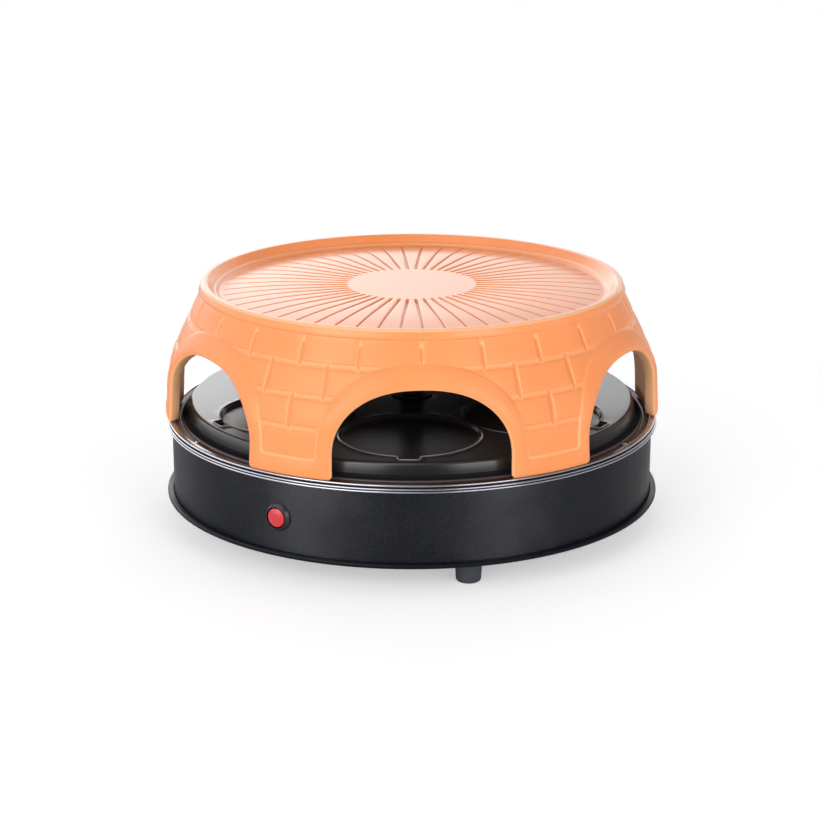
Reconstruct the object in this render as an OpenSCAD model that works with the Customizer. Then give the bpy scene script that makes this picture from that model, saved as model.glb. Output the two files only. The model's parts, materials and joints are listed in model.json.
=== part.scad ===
// Table-top pizza oven for six: a round electric base, a baking plate with six
// round places, a plug-in upper heating element and a terracotta dome with six
// arched mouths. Millimetres, +Z up, origin on the table under the centre,
// pilot lamp at -Y, cord inlet at +Y.

/* [Base] */
// Outer radius of the silver rim ring
base_r = 195; // [188:1:205]
// How far the black band is set in from the rim ring
band_inset = 4; // [3:0.5:5]
// Height of the black band
band_h = 57.4; // [52:0.2:66]
// Wall of the black band
band_wall = 1.5; // [1.2:0.1:2]
// Height of the rim ring above the band
ring_h = 4.7; // [4.4:0.1:6]
// How far the bottom pan's rolled lip stands out past the rim ring
lip_over = 1.2; // [0.8:0.1:2]
// Height of the rolled lip
lip_h = 3.5; // [3:0.1:4.5]
// Sheet thickness of the bottom pan
pan_t = 1.2; // [1:0.1:1.6]
// Number of vent slots in the bottom pan
vent_n = 12; // [6:1:16]
// Width of a vent slot
vent_w = 5; // [3:0.5:6]
// Length of a vent slot
vent_len = 34; // [24:1:40]

/* [Feet] */
// Height of a foot
foot_h = 20.4; // [18:0.2:24]
// Radius of a foot at the table
foot_r = 7.6; // [7.4:0.1:9]
// Radius of a foot under the pan
foot_top_r = 9.5; // [9.2:0.1:11]
// How far the feet's axes are set in from the rim ring
foot_inset = 26; // [24:1:34]
// Radius of a foot screw's shank
foot_screw_r = 2; // [1.6:0.1:2.4]

/* [Element tray] */
// Sheet thickness of the element tray
tray_t = 1.2; // [1:0.1:1.6]
// Width of the ledge that the dome's legs stand over
ledge_w = 5.6; // [5:0.1:7]
// How far the plate's seat lies below the ledge
seat_drop = 3; // [2.6:0.1:3.6]
// Width of the plate's seat
seat_w = 8; // [7:0.5:10]
// Depth of the tray below the plate's seat
tray_depth = 22; // [20:0.5:24]
// Width of the tray's sloping wall
tray_slope = 27; // [24:0.5:30]
// Number of screws that hold the tray to the ring
tray_screw_n = 3; // [3:1:6]

/* [Pilot lamp] */
// Height of the lamp above the band's lower edge
lamp_up = 28.1; // [22:0.5:32]
// Radius of the lamp's bezel
bezel_r = 10.5; // [9.5:0.25:12]
// How far the bezel stands out
bezel_out = 3.4; // [2.6:0.1:3.8]
// Radius of the red lens
lens_r = 7.2; // [6.2:0.1:7.6]
// Length of the lamp body behind the band
lamp_body_len = 26; // [20:1:30]

/* [Cord inlet] */
// Height of the cord inlet above the band's lower edge
inlet_up = 23.4; // [20:0.5:28]
// Radius of the inlet bush's collar
bush_r = 8.5; // [8:0.25:10]
// Radius of the bush's cord hole
bush_bore_r = 3.7; // [3.3:0.1:4]

/* [Heating elements] */
// Radius of a heating tube
tube_r = 3.3; // [3:0.1:3.6]
// Inner bend radius of a heating tube's corners, on its axis
bend_r = 11; // [9:0.5:13]
// How far the lower element's loop is set in from the tray's floor edge
lower_inset = 30; // [24:1:40]
// Height of the lower element's axis above the tray floor
lower_lift = 11; // [9.5:0.5:12]
// Radius of the upper element's loop
upper_ring_r = 95; // [85:1:102]
// Clear height between the nut over the upper element and the dome's ceiling
ceiling_clear = 9.8; // [7:0.1:14]
// Number of arms and clips that carry each element
arm_n = 3; // [3:1:5]

/* [Baking plate] */
// Height of the plate from its flange to its top
plate_h = 14.7; // [13:0.1:18]
// How far the plate's top edge is set in from its flange
plate_step = 7.2; // [6:0.1:8]
// Wall of the cast plate
plate_wall = 3.4; // [3:0.1:4]
// Width of the plain rim outside the six places
place_rim = 13.6; // [13:0.1:18]
// Width of the land between two places at its narrowest
place_land = 1.2; // [1:0.1:5]
// Depth of the places
place_depth = 2.8; // [2:0.1:2.8]
// Width of the lifting notch of a place
notch_w = 15; // [10:0.5:20]
// Length of the lifting notch past the place's edge
notch_len = 7.5; // [5:0.25:8]

/* [Column] */
// Outer radius of the column tube
column_r = 9; // [8:0.25:10]
// Wall of the column tube
column_wall = 1.2; // [1:0.1:1.6]
// Radius of the column's plug
plug_r = 11; // [10.5:0.1:12]
// Depth of the plug in its socket
plug_depth = 16; // [14:0.5:18]
// Wall of the socket round the plug
socket_wall = 4; // [3:0.25:5]
// How far the reflector reaches past the upper element's loop
reflector_over = 17; // [12:1:20]

/* [Dome] */
// Height of the dome from its legs to its crest
dome_h = 106.8; // [103:0.2:112]
// How far the dome's legs stand out past the rim ring
dome_over = 1; // [-1:0.1:1.2]
// Outer radius of the crest
crest_r = 164; // [158:0.5:167]
// Thickness of the dome's wall
dome_wall = 10; // [9:0.25:10.5]
// Width of the raised rim on top
rim_w = 12; // [10:0.5:16]
// Depth of the sunk top floor below the crest
top_sink = 8.3; // [6:0.1:10]
// Thickness of the sunk top floor
top_t = 10; // [8:0.25:11]
// How far the dome is turned on the base, in degrees
dome_turn = 3; // [-4:0.5:4]

/* [Arches] */
// Half of an arch's width
arch_half_w = 66; // [58:0.5:67]
// Height of the straight part of an arch's sides
arch_side_h = 16; // [12:0.5:20]
// Height of an arch
arch_h = 66.2; // [60:0.1:69]
// Width of the raised frame at an arch's sides
frame_w = 11; // [8:0.5:12]
// Width of the raised frame over an arch
frame_top_w = 17; // [12:0.5:17]
// How far the frames stand out from the bricks
frame_out = 1.9; // [1:0.1:2.2]

/* [Bricks] */
// Number of courses of bricks
course_n = 4; // [3:1:5]
// Height of the plain band at the legs' feet
foot_band_h = 14; // [11:0.5:17]
// Width of the joints between bricks
joint_w = 4.4; // [3.4:0.1:5]
// Depth of the joints between bricks
joint_d = 1.2; // [0.8:0.1:1.6]
// Number of bricks round the top course
brick_n = 24; // [12:6:36]

/* [Top grooves] */
// Number of radial grooves in the sunk top
groove_n = 52; // [36:1:60]
// Width of a radial groove
groove_w = 2.6; // [1.8:0.1:3]
// Depth of a radial groove
groove_d = 2.2; // [1.5:0.1:3]
// Radius of the smooth disc in the middle
disc_r = 52; // [45:1:60]

/* [Hidden] */

$fn = 96;
smooth_n = 180; // facets round the large turned shapes

// Clearances
rest_gap = 0.3;     // under each piece that lifts off
fit = 0.3;          // round a piece that is dropped or pushed into another
slip = 0.15;        // round a shank in its hole
plate_play = 1.2;   // round the plate's flange in the tray
cut = 1;            // how far a cutting tool runs past the face it opens

// Heights of the base, from the table up
z_pan = foot_h;
z_band = z_pan + pan_t;
z_ring = z_band + band_h;
z_crest = z_ring + ring_h;
ledge_below_crest = 0.7;
z_ledge = z_crest - ledge_below_crest;
z_seat = z_ledge - seat_drop;
z_floor = z_seat - tray_depth;
z_floor_under = z_floor - tray_t;

// Radii of the base
band_r = base_r - band_inset;
lip_r = base_r + lip_over;
ring_in_r = band_r - band_wall - fit;
tray_r = ring_in_r - fit;
seat_r = tray_r - ledge_w;
seat_in_r = seat_r - seat_w;
floor_r = seat_in_r - tray_slope;
shelf_w = 4;
shelf_t = 1.4;

// Feet and screws
foot_place_r = base_r - foot_inset;
foot_angles = [-135, -45, 45, 135];
foot_round = 1.2;
screw_head_r = 1.9 * foot_screw_r;
screw_sink = 6;
nut_h = 3.2;

// Brackets that tie the band to the bottom pan
bracket_angles = [-150, -30, 60, 120];
bracket_w = 14;
bracket_h = 22;
bracket_t = 1.5;
bracket_foot = 16;
cover_screw_r = 1.6;

// Screws on the ledge
tray_screw_r = 1.1;
tray_screw_head_r = 2.1;
tray_screw_head_h = 1.1;
tray_screw_at = (tray_r - shelf_w + tray_r) / 2;

// Lamp and cord inlet
z_lamp = z_band + lamp_up;
lamp_stem_r = lens_r + 0.6;
lamp_nut_h = 4;
lamp_nut_r = lamp_stem_r + 4;
lamp_seat_y = sqrt(pow(band_r - band_wall, 2) - pow(lamp_nut_r, 2)) - slip;
lamp_body_side = 13;
z_inlet = z_band + inlet_up;
bush_stem_r = bush_r - 2;
bush_out = 4;
bush_in = 9;

// Lower element and its fittings
lower_ring_r = floor_r - lower_inset;
z_lower = z_floor + lower_lift;
lower_leg_x = 12;
lower_leg_y = 62;
drop_y = lower_leg_y - bend_r;
lower_leg_end = 15;
pin_r = 1.5;
pin_len = 9;
bush_wall = 2.6;
heater_bush_h = 9;
arm_w = 9;
arm_t = 1.5;

// Socket and plug
z_socket_top = z_floor + 20;
socket_bore_r = plug_r + fit;
socket_r = socket_bore_r + socket_wall;
z_socket_bottom = z_socket_top - plug_depth - 10;
z_plug = z_socket_top - plug_depth + rest_gap;
contact_r = 2;
contact_x = 5.4;
pin_drop = 8;
contact_len = 7;
contact_wall = 0.8;

// Baking plate
z_plate = z_seat + rest_gap;
z_plate_top = z_plate + plate_h;
plate_flange_r = seat_r - plate_play;
plate_r = plate_flange_r - plate_step;
place_r = (plate_r - place_rim - place_land) / 3;
place_at = 2 * place_r + place_land;
plate_round = 3;
plate_hole_r = plug_r + 2;
boss_r = plate_hole_r + 8;

// Dome heights and profiles
z_dome = z_crest + rest_gap;
z_dome_top = z_dome + dome_h;
z_top_floor = z_dome_top - top_sink;
z_ceiling = z_top_floor - top_t;
dome_foot_r = base_r + dome_over;
leg_taper = 0.05;
knee_up = 45.5;
knee_round = 60;
shoulder_drop = 4.2;
shoulder_out = 2.2;
foot_edge = 3.5;
course_h = (dome_h - shoulder_drop - foot_band_h) / course_n;
course_z = [for (i = [0:course_n]) z_dome + foot_band_h + i * course_h];
knee_r = dome_foot_r - leg_taper * knee_up;
shoulder_r = crest_r + shoulder_out;
top_floor_r = crest_r - rim_w;
groove_end_r = top_floor_r - 6;

// Column above the plate
collar_t = 2;
head_h = 2 * tube_r + 6;
collar_r = plate_hole_r + 3;
z_collar = z_plate_top + rest_gap;
z_tube = z_socket_top + 2;
reflector_t = 0.8;
reflector_drop = 5;
cap_h = 5.4;
z_reflector = z_ceiling - ceiling_clear - cap_h - reflector_t;
z_head = z_reflector - head_h;
z_arm = z_head - arm_t;
z_upper = z_head + tube_r + rest_gap;
head_r = column_r + 8;
reflector_r = upper_ring_r + reflector_over;
upper_leg_x = 8;
socket_hole_len = 7;
stud_r = 3;
stud_down = 8;
lead_r = 1.1;
lead_x = (stud_r + column_r - column_wall) / 2;

lid_red = [0.96, 0.55, 0.33];
steel = [0.74, 0.75, 0.78];
black = [0.12, 0.12, 0.13];
ceramic = [0.88, 0.86, 0.8];
brass = [0.8, 0.66, 0.36];

// ---------- shapes that repeat ----------

// Points of the corner b between a and c, rounded to radius r in n steps.
function corner(a, b, c, r, n) =
    let (u = (a - b) / norm(a - b), v = (c - b) / norm(c - b),
         half = acos(max(-1, min(1, u * v))) / 2,
         m = (u + v) / norm(u + v), o = b + m * r / sin(half),
         side = cross(u, v) > 0 ? 1 : -1,
         start = atan2(-m[1], -m[0]) + side * (90 - half))
    [for (i = [0:n]) let (t = start - side * i * (180 - 2 * half) / n)
        o + r * [cos(t), sin(t)]];

// An outline given as [x, y, radius] per corner; radius 0 keeps it sharp.
function outline(p, n = 4) =
    [for (i = [0:len(p) - 1])
        let (a = p[(i + len(p) - 1) % len(p)], b = p[i], c = p[(i + 1) % len(p)])
        each b[2] == 0 ? [[b[0], b[1]]]
            : corner([a[0], a[1]], [b[0], b[1]], [c[0], c[1]], b[2], n)];

// A ring turned from an outline in the plane of radius and height.
module turned(p, n = 4) rotate_extrude($fn = smooth_n) polygon(outline(p, n));

// A plain tube or disc from its radii and heights.
module ring(r, inner, z, h) {
    rotate_extrude() translate([inner, z]) square([r - inner, h]);
}

// A slot with round ends that runs along X.
module slot(length, width, z, h) {
    run = length - width;
    translate([-run / 2, -width / 2, z]) cube([run, width, h]);
    for (x = [-run / 2, run / 2]) translate([x, 0, z]) cylinder(r = width / 2, h = h);
}

// A pan-head screw whose head sits on z = 0 and whose shank points up.
module screw(shank_r, length, head_r, head_h) {
    cylinder(r = shank_r, h = length, $fn = 32);
    rotate([180, 0, 0]) difference() {
        union() {
            cylinder(r = head_r, h = head_h * 0.55, $fn = 32);
            translate([0, 0, head_h * 0.55])
                cylinder(r1 = head_r, r2 = head_r * 0.6, h = head_h * 0.45, $fn = 32);
        }
        for (a = [0, 90]) rotate(a) translate([-head_r * 0.5, -head_r * 0.12, head_h * 0.6])
            cube([head_r, head_r * 0.24, head_h]);
    }
}

// A hex nut on z = 0.
module nut(across_r, hole_r, h) difference() {
    cylinder(r = across_r, h = h, $fn = 6);
    translate([0, 0, -cut]) cylinder(r = hole_r, h = h + 2 * cut, $fn = 32);
}

// A heating tube's route: an open loop whose two ends turn in side by side.
function heater_route(loop_r, leg_x, leg_y) =
    let (gap_angle = asin((leg_x + bend_r) / (loop_r - bend_r)),
         bend_y = (loop_r - bend_r) * cos(gap_angle),
         half = concat(
            [[leg_x, leg_y, 0], [leg_x, (leg_y + bend_y) / 2, 0]],
            [for (i = [0:6]) let (t = 180 - i * (90 + gap_angle) / 6)
                [leg_x + bend_r + bend_r * cos(t), bend_y + bend_r * sin(t), 0]],
            [for (i = [1:30]) let (t = 90 - gap_angle - i * (180 - gap_angle) / 30)
                loop_r * [cos(t), sin(t), 0]]))
    concat(half, [for (i = [len(half) - 2:-1:0]) [-half[i][0], half[i][1], 0]]);

// Direction of a route at point i, and a square frame carried along it.
function heading(p, i) = let (d = p[min(len(p) - 1, i + 1)] - p[max(0, i - 1)]) d / norm(d);

function square_to(u, d) = let (w = u - (u * d) * d) w / norm(w);

function frames(p) = [for (i = 0, d = heading(p, 0), u = square_to([0.1, 0.2, 1], d);
    i < len(p); i = i + 1, d = heading(p, min(i, len(p) - 1)), u = square_to(u, d)) [d, u]];

// A round tube or wire swept along a route of points.
module swept(p, r, sides = 8) {
    n = len(p);
    f = frames(p);
    points = [for (i = [0:n - 1]) let (u = f[i][1], v = cross(f[i][0], u))
        for (k = [0:sides - 1]) p[i] + r * (cos(360 * k / sides) * u + sin(360 * k / sides) * v)];
    polyhedron(points = points, faces = concat(
        [[for (k = [0:sides - 1]) k]],
        [for (i = [0:n - 2]) for (k = [0:sides - 1])
            [i * sides + k, (i + 1) * sides + k,
             (i + 1) * sides + (k + 1) % sides, i * sides + (k + 1) % sides]],
        [[for (k = [sides - 1:-1:0]) (n - 1) * sides + k]]));
}

// A smooth route from a to b that leaves along da and arrives along db.
function route(a, da, b, db, n = 12) =
    [for (i = [0:n]) let (t = i / n)
        (1 - t) * (1 - t) * (1 - t) * a + 3 * (1 - t) * (1 - t) * t * (a + da)
        + 3 * (1 - t) * t * t * (b + db) + t * t * t * b];

// ---------- base ----------

module bottom_pan() color(black) difference() {
    turned([
        [0, z_pan, 0], [lip_r - lip_h / 2, z_pan, 0], [lip_r, z_pan, lip_h * 0.42],
        [lip_r, z_pan + lip_h, lip_h * 0.42], [band_r + fit, z_pan + lip_h, 0.8],
        [band_r + fit, z_band, 0], [0, z_band, 0]]);
    for (a = foot_angles) rotate(a) translate([foot_place_r, 0, z_pan - cut])
        cylinder(r = foot_screw_r + slip, h = pan_t + 2 * cut, $fn = 32);
    for (a = bracket_angles) rotate(a)
        translate([band_r - band_wall - bracket_foot / 2, 0, z_pan - cut])
        cylinder(r = cover_screw_r + slip, h = pan_t + 2 * cut, $fn = 32);
    for (i = [0:vent_n - 1]) rotate(i * 360 / vent_n) translate([base_r * 0.42, 0, 0])
        slot(vent_len, vent_w, z_pan - cut, pan_t + 2 * cut);
}

module housing_band() color(black) difference() {
    ring(band_r, band_r - band_wall, z_band, band_h);
    translate([0, 0, z_lamp]) rotate([90, 0, 0])
        cylinder(r = lamp_stem_r + slip, h = band_r + cut, $fn = 48);
    translate([0, 0, z_inlet]) rotate([-90, 0, 0])
        cylinder(r = bush_stem_r + slip, h = band_r + cut, $fn = 48);
}

module rim_ring() color(steel) {
    bead_r = ring_h / 6;
    steps = [0, base_r - band_r - 2.6, base_r - band_r - 1.2];
    difference() {
        turned([
            [base_r - 0.6, z_ring, 0], [base_r, z_ring + bead_r, bead_r * 0.6],
            [base_r - 0.6, z_ring + 2 * bead_r, 0.2],
            [base_r - 1.3, z_ring + 2 * bead_r, 0.2],
            [base_r - 1.1, z_ring + 3 * bead_r, bead_r * 0.6],
            [base_r - 2.2, z_ring + 4 * bead_r, 0.2],
            [base_r - 2.6, z_ring + 4 * bead_r, 0.2],
            [base_r - 2.8, z_crest, bead_r * 0.9], [ring_in_r, z_crest, bead_r * 0.9],
            [ring_in_r, z_ledge - tray_t, 0],
            [ring_in_r - shelf_w, z_ledge - tray_t, 0],
            [ring_in_r - shelf_w, z_ledge - tray_t - shelf_t, 0],
            [ring_in_r, z_ledge - tray_t - shelf_t, 0], [ring_in_r, z_ring, 0]], 3);
        for (i = [0:tray_screw_n - 1]) rotate(i * 360 / tray_screw_n)
            translate([tray_screw_at, 0, z_ring])
            cylinder(r = tray_screw_r + slip, h = ring_h, $fn = 32);
    }
}

module element_tray() color(steel) difference() {
    turned([
        [0, z_floor, 0], [floor_r, z_floor, 5], [seat_in_r, z_seat, 2.5],
        [seat_r, z_seat, 0.8], [seat_r, z_ledge, 1.5], [tray_r, z_ledge, 0],
        [tray_r, z_ledge - tray_t, 0], [seat_r + tray_t, z_ledge - tray_t, 0.3],
        [seat_r + tray_t, z_seat - tray_t, 1.6],
        [seat_in_r + tray_t * 0.5, z_seat - tray_t, 1.6],
        [floor_r + tray_t * 0.4, z_floor_under, 6], [0, z_floor_under, 0]]);
    for (i = [0:tray_screw_n - 1]) rotate(i * 360 / tray_screw_n)
        translate([tray_screw_at, 0, z_ledge - tray_t - cut])
        cylinder(r = tray_screw_r + slip, h = tray_t + 2 * cut, $fn = 32);
    translate([0, 0, z_floor_under - cut])
        cylinder(r = socket_r + slip, h = tray_t + 2 * cut);
    for (x = [-lower_leg_x, lower_leg_x]) translate([x, drop_y, z_floor_under - cut])
        cylinder(r = tube_r + bush_wall + slip, h = tray_t + 2 * cut, $fn = 48);
}

module foot(angle) color(black) rotate(angle) translate([foot_place_r, 0, 0]) difference() {
    turned([
        [0, 0, 0], [foot_r, 0, foot_round], [foot_top_r, foot_h, 0.4], [0, foot_h, 0]], 3);
    translate([0, 0, -cut]) cylinder(r = foot_screw_r + slip, h = foot_h + 2 * cut, $fn = 32);
    translate([0, 0, -cut]) cylinder(r = screw_head_r + fit, h = screw_sink + cut, $fn = 48);
}

module foot_front_left() foot(foot_angles[0]);

module foot_front_right() foot(foot_angles[1]);

module foot_rear_right() foot(foot_angles[2]);

module foot_rear_left() foot(foot_angles[3]);

module foot_screws() color(steel) for (a = foot_angles) rotate(a)
    translate([foot_place_r, 0, screw_sink])
    screw(foot_screw_r, z_band + nut_h + 1.5 - screw_sink, screw_head_r, 2.4);

module foot_nuts() color(steel) for (a = foot_angles) rotate(a)
    translate([foot_place_r, 0, z_band]) nut(2 * foot_screw_r, foot_screw_r + slip, nut_h);

module housing_brackets() color(steel) for (a = bracket_angles) rotate(a)
    difference() {
        intersection() {
            union() {
                translate([band_r - band_wall - bracket_foot, -bracket_w / 2, z_band])
                    cube([bracket_foot, bracket_w, bracket_t]);
                translate([band_r - band_wall - 3 * bracket_t, -bracket_w / 2, z_band])
                    cube([3 * bracket_t, bracket_w, bracket_h]);
            }
            cylinder(r = band_r - band_wall, h = z_ring, $fn = smooth_n);
        }
        translate([0, -bracket_w, z_band + bracket_t])
            cube([band_r - band_wall - 2 * bracket_t, 2 * bracket_w, bracket_h]);
        translate([band_r - band_wall - bracket_foot / 2, 0, z_band - cut])
            cylinder(r = cover_screw_r + slip, h = bracket_t + 2 * cut, $fn = 32);
    }

module cover_screws() color(steel) for (a = bracket_angles) rotate(a)
    translate([band_r - band_wall - bracket_foot / 2, 0, z_pan])
    screw(cover_screw_r, pan_t + bracket_t + 3, 1.9 * cover_screw_r, 2);

module tray_screws() color(steel) for (i = [0:tray_screw_n - 1])
    rotate(i * 360 / tray_screw_n) translate([tray_screw_at, 0, z_ledge]) rotate([180, 0, 0])
    screw(tray_screw_r, tray_t + shelf_t - 0.2, tray_screw_head_r, tray_screw_head_h);

module lamp_bezel() color(black) translate([0, -band_r, z_lamp]) rotate([90, 0, 0])
    difference() {
        union() {
            turned([
                [0, 0, 0], [bezel_r, 0, 0], [bezel_r, 1, 0.5],
                [lens_r + 1.4, bezel_out, 0.8], [0, bezel_out, 0]], 3);
            translate([0, 0, -band_wall - lamp_nut_h - 2])
                cylinder(r = lamp_stem_r, h = band_wall + lamp_nut_h + 3, $fn = 48);
        }
        translate([0, 0, -band_wall - lamp_nut_h - 2 - cut])
            cylinder(r = lens_r - 1.2, h = band_wall + lamp_nut_h + 20, $fn = 48);
        translate([0, 0, bezel_out - 1.6]) cylinder(r = lens_r + slip, h = 10, $fn = 48);
    }

module lamp_lens() color([0.85, 0.1, 0.12, 0.8])
    translate([0, -band_r - bezel_out + 1.6, z_lamp]) rotate([90, 0, 0])
    turned([
        [0, 0, 0], [lens_r, 0, 0], [lens_r, 1.4, 0.7], [lens_r * 0.5, 2.3, 4], [0, 2.4, 0]], 5);

module lamp_nut() color(black) translate([0, -lamp_seat_y, z_lamp]) rotate([-90, 0, 0])
    nut(lamp_nut_r, lamp_stem_r + slip, lamp_nut_h);

module lamp_body() color(black)
    translate([0, -band_r + band_wall + lamp_nut_h + 2, z_lamp]) {
        translate([-lamp_body_side / 2, 0, -lamp_body_side / 2])
            cube([lamp_body_side, lamp_body_len - 8, lamp_body_side]);
        rotate([90, 0, 0]) cylinder(r = lens_r - 1.2 - slip, h = 4, $fn = 48);
        for (x = [-3.5, 3.5]) translate([x - 0.4, lamp_body_len - 8, -2]) cube([0.8, 7, 4]);
    }

module cord_bush() color(black) translate([0, band_r, z_inlet]) rotate([-90, 0, 0])
    difference() {
        union() {
            turned([
                [0, 0, 0], [bush_r, 0, 0], [bush_r, 1.8, 1],
                [bush_bore_r + 2, bush_out, 1], [0, bush_out, 0]], 3);
            translate([0, 0, -bush_in]) cylinder(r = bush_stem_r, h = bush_in + 1, $fn = 48);
            translate([0, 0, -bush_in])
                cylinder(r = bush_r - 0.6, h = bush_in - band_wall - 0.6, $fn = 48);
        }
        translate([0, 0, -bush_in - cut])
            cylinder(r = bush_bore_r, h = bush_in + bush_out + 2 * cut, $fn = 48);
    }

// ---------- inside the base ----------

block_x = 42;
block_len = 30;
block_d = 16;
block_h = 13;
block_y = base_r * 0.66;
wire_r = 1.1;

module terminal_block() color(ceramic) difference() {
    translate([block_x - block_len / 2, block_y, z_band]) cube([block_len, block_d, block_h]);
    for (i = [-1:1]) {
        translate([block_x + i * 9, block_y - cut, z_band + 5]) rotate([-90, 0, 0])
            cylinder(r = 2.2, h = block_d + 2 * cut, $fn = 32);
        translate([block_x + i * 9, block_y + block_d / 2, z_band + 5])
            cylinder(r = 1.7, h = block_h, $fn = 32);
    }
}

module terminal_screws() color(brass) for (i = [-1:1])
    translate([block_x + i * 9, block_y + block_d / 2, z_band + 6])
    cylinder(r = 1.55, h = block_h - 7, $fn = 32);

module thermal_cutout() color(ceramic) translate([-60, -40, 0]) {
    ring(9, 0, z_floor_under - 7, 7);
    ring(12, 0, z_floor_under - 1.2, 1.2);
    for (x = [-4, 4]) translate([x - 0.4, -3, z_floor_under - 13]) cube([0.8, 6, 6]);
}

module lower_heater() color([0.35, 0.34, 0.34]) {
    flat = heater_route(lower_ring_r, lower_leg_x, lower_leg_y);
    drop = concat([[lower_leg_x, drop_y, -bend_r - lower_leg_end]],
        [for (i = [0:5]) [lower_leg_x, lower_leg_y - bend_r * cos(18 * i), -bend_r + bend_r * sin(18 * i)]]);
    back = [for (i = [len(drop) - 1:-1:0]) [-drop[i][0], drop[i][1], drop[i][2]]];
    inner = [for (i = [1:len(flat) - 2]) flat[i]];
    translate([0, 0, z_lower]) swept(concat(drop, inner, back), tube_r, 10);
}

module heater_bushes() color(ceramic) for (x = [-lower_leg_x, lower_leg_x])
    translate([x, drop_y, 0]) difference() {
        union() {
            ring(tube_r + bush_wall, 0, z_floor_under - heater_bush_h + 3, heater_bush_h - 3);
            ring(tube_r + bush_wall, 0, z_floor_under - 0.5, tray_t + 0.5);
            ring(tube_r + bush_wall + 2, 0, z_floor_under - 2.5, 2.5);
        }
        translate([0, 0, z_floor_under - heater_bush_h])
            cylinder(r = tube_r + slip, h = 3 * heater_bush_h, $fn = 48);
    }

module heater_pins() color(steel) for (x = [-lower_leg_x, lower_leg_x])
    translate([x, drop_y, z_lower - bend_r - lower_leg_end - pin_len])
    cylinder(r = pin_r, h = pin_len, $fn = 32);

module heater_clips() color(steel) for (i = [0:arm_n - 1])
    rotate(-90 + i * 360 / arm_n) translate([lower_ring_r, 0, 0]) difference() {
        union() {
            translate([-arm_w, -arm_w / 2, z_floor]) cube([2 * arm_w, arm_w, arm_t]);
            translate([-tube_r - 1.5, -arm_w / 2, z_floor])
                cube([2 * tube_r + 3, arm_w, lower_lift - 0.6]);
        }
        translate([-tube_r, -arm_w, z_floor + arm_t]) cube([2 * tube_r, 2 * arm_w, 3]);
        translate([0, 0, z_lower]) rotate([90, 0, 0])
            translate([0, 0, -arm_w]) cylinder(r = tube_r + 0.4, h = 2 * arm_w, $fn = 48);
    }

module centre_socket() color(ceramic) difference() {
    union() {
        turned([
            [0, z_socket_bottom, 0], [socket_r, z_socket_bottom, 0],
            [socket_r, z_socket_top, 1.2], [0, z_socket_top, 0]], 3);
        ring(socket_r + 5, 0, z_floor, 3);
    }
    translate([0, 0, z_socket_top - plug_depth])
        cylinder(r = socket_bore_r, h = plug_depth + cut);
    for (x = [-contact_x, contact_x]) translate([x, 0, z_socket_bottom - cut])
        cylinder(r = contact_r + contact_wall + fit + slip, h = 30, $fn = 32);
}

module socket_contacts() color(brass) for (x = [-contact_x, contact_x])
    translate([x, 0, 0]) {
        ring(contact_r + contact_wall + fit, contact_r + fit, z_plug - 9.3, contact_len);
        ring(contact_r + contact_wall + fit, 0, z_plug - 10.3, 1);
        translate([-0.4, -2, z_plug - 18]) cube([0.8, 4, 8]);
    }

// Where the wires end, worked out from the pieces they join.
pin_end_z = z_lower - bend_r - lower_leg_end - pin_len;

module lead_wires() color([0.75, 0.73, 0.7]) {
    z_w = z_band + 5;
    for (i = [-1, 1]) {
        swept(route([block_x + i * 9, block_y + 3, z_w], [0, -22, 0],
            [i * lower_leg_x, drop_y, pin_end_z - 2 * rest_gap], [0, 0, -10]), wire_r);
    }
    swept(route([block_x + 9, block_y + block_d - 3, z_w], [0, 16, 0],
        [bush_bore_r * 0.3, band_r - bush_in - 4, z_inlet], [6, -10, 0]), wire_r);
}

// ---------- what lifts off ----------

module place_cut(angle) rotate(angle) {
    z_low = z_plate_top - place_depth;
    translate([place_at, 0, z_low])
        cylinder(r1 = place_r - 1, r2 = place_r + 0.2, h = place_depth + 0.01, $fn = smooth_n);
    translate([place_at, 0, z_plate_top]) cylinder(r = place_r + 0.2, h = cut, $fn = smooth_n);
    translate([place_at + place_r - 8, -notch_w / 2, z_low])
        cube([8 + notch_len, notch_w, place_depth + cut]);
}

module baking_plate() color(black) difference() {
    turned([
        [plate_hole_r, z_plate_top, 0], [plate_r, z_plate_top, plate_round],
        [plate_r + 2.4, z_plate + 5.6, 0.8], [plate_r + 1.6, z_plate + 5, 0],
        [plate_r + 1.6, z_plate + 4.2, 0], [plate_flange_r - 1.5, z_plate + 3.4, 0.8],
        [plate_flange_r, z_plate + 2, 0.8], [plate_flange_r, z_plate, 0.4],
        [plate_flange_r - seat_w + 1, z_plate, 0.8],
        [plate_r - plate_wall, z_plate_top - place_depth - plate_wall, 2],
        [boss_r, z_plate_top - place_depth - plate_wall, 2],
        [boss_r, z_plate + 2, 0.8], [plate_hole_r, z_plate + 2, 0]], 3);
    for (i = [0:5]) place_cut(i * 60);
}

module column_plug() color(ceramic) difference() {
    turned([
        [0, z_plug, 0], [plug_r, z_plug, 0.8], [plug_r, z_tube, 1], [0, z_tube, 0]], 3);
    for (x = [-contact_x, contact_x]) translate([x, 0, z_plug - cut])
        cylinder(r = contact_r + slip, h = 7 + cut, $fn = 32);
    translate([0, 0, z_tube - stud_down]) cylinder(r = stud_r + slip, h = stud_down + cut, $fn = 32);
}

module plug_pins() color(brass) for (x = [-contact_x, contact_x])
    translate([x, 0, z_plug - pin_drop]) {
        cylinder(r = contact_r, h = pin_drop + 7, $fn = 32);
    }

module column_tube() color(steel)
    ring(column_r, column_r - column_wall, z_tube, z_arm - z_tube);

module column_collar() color(steel) difference() {
    turned([
        [0, z_collar, 0], [collar_r, z_collar, 0.3], [collar_r, z_collar + collar_t * 0.5, 0.4],
        [column_r + 2, z_collar + collar_t, 0.5], [0, z_collar + collar_t, 0]], 3);
    translate([0, 0, z_collar - cut]) cylinder(r = column_r + slip, h = collar_t + 2 * cut);
}

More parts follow.
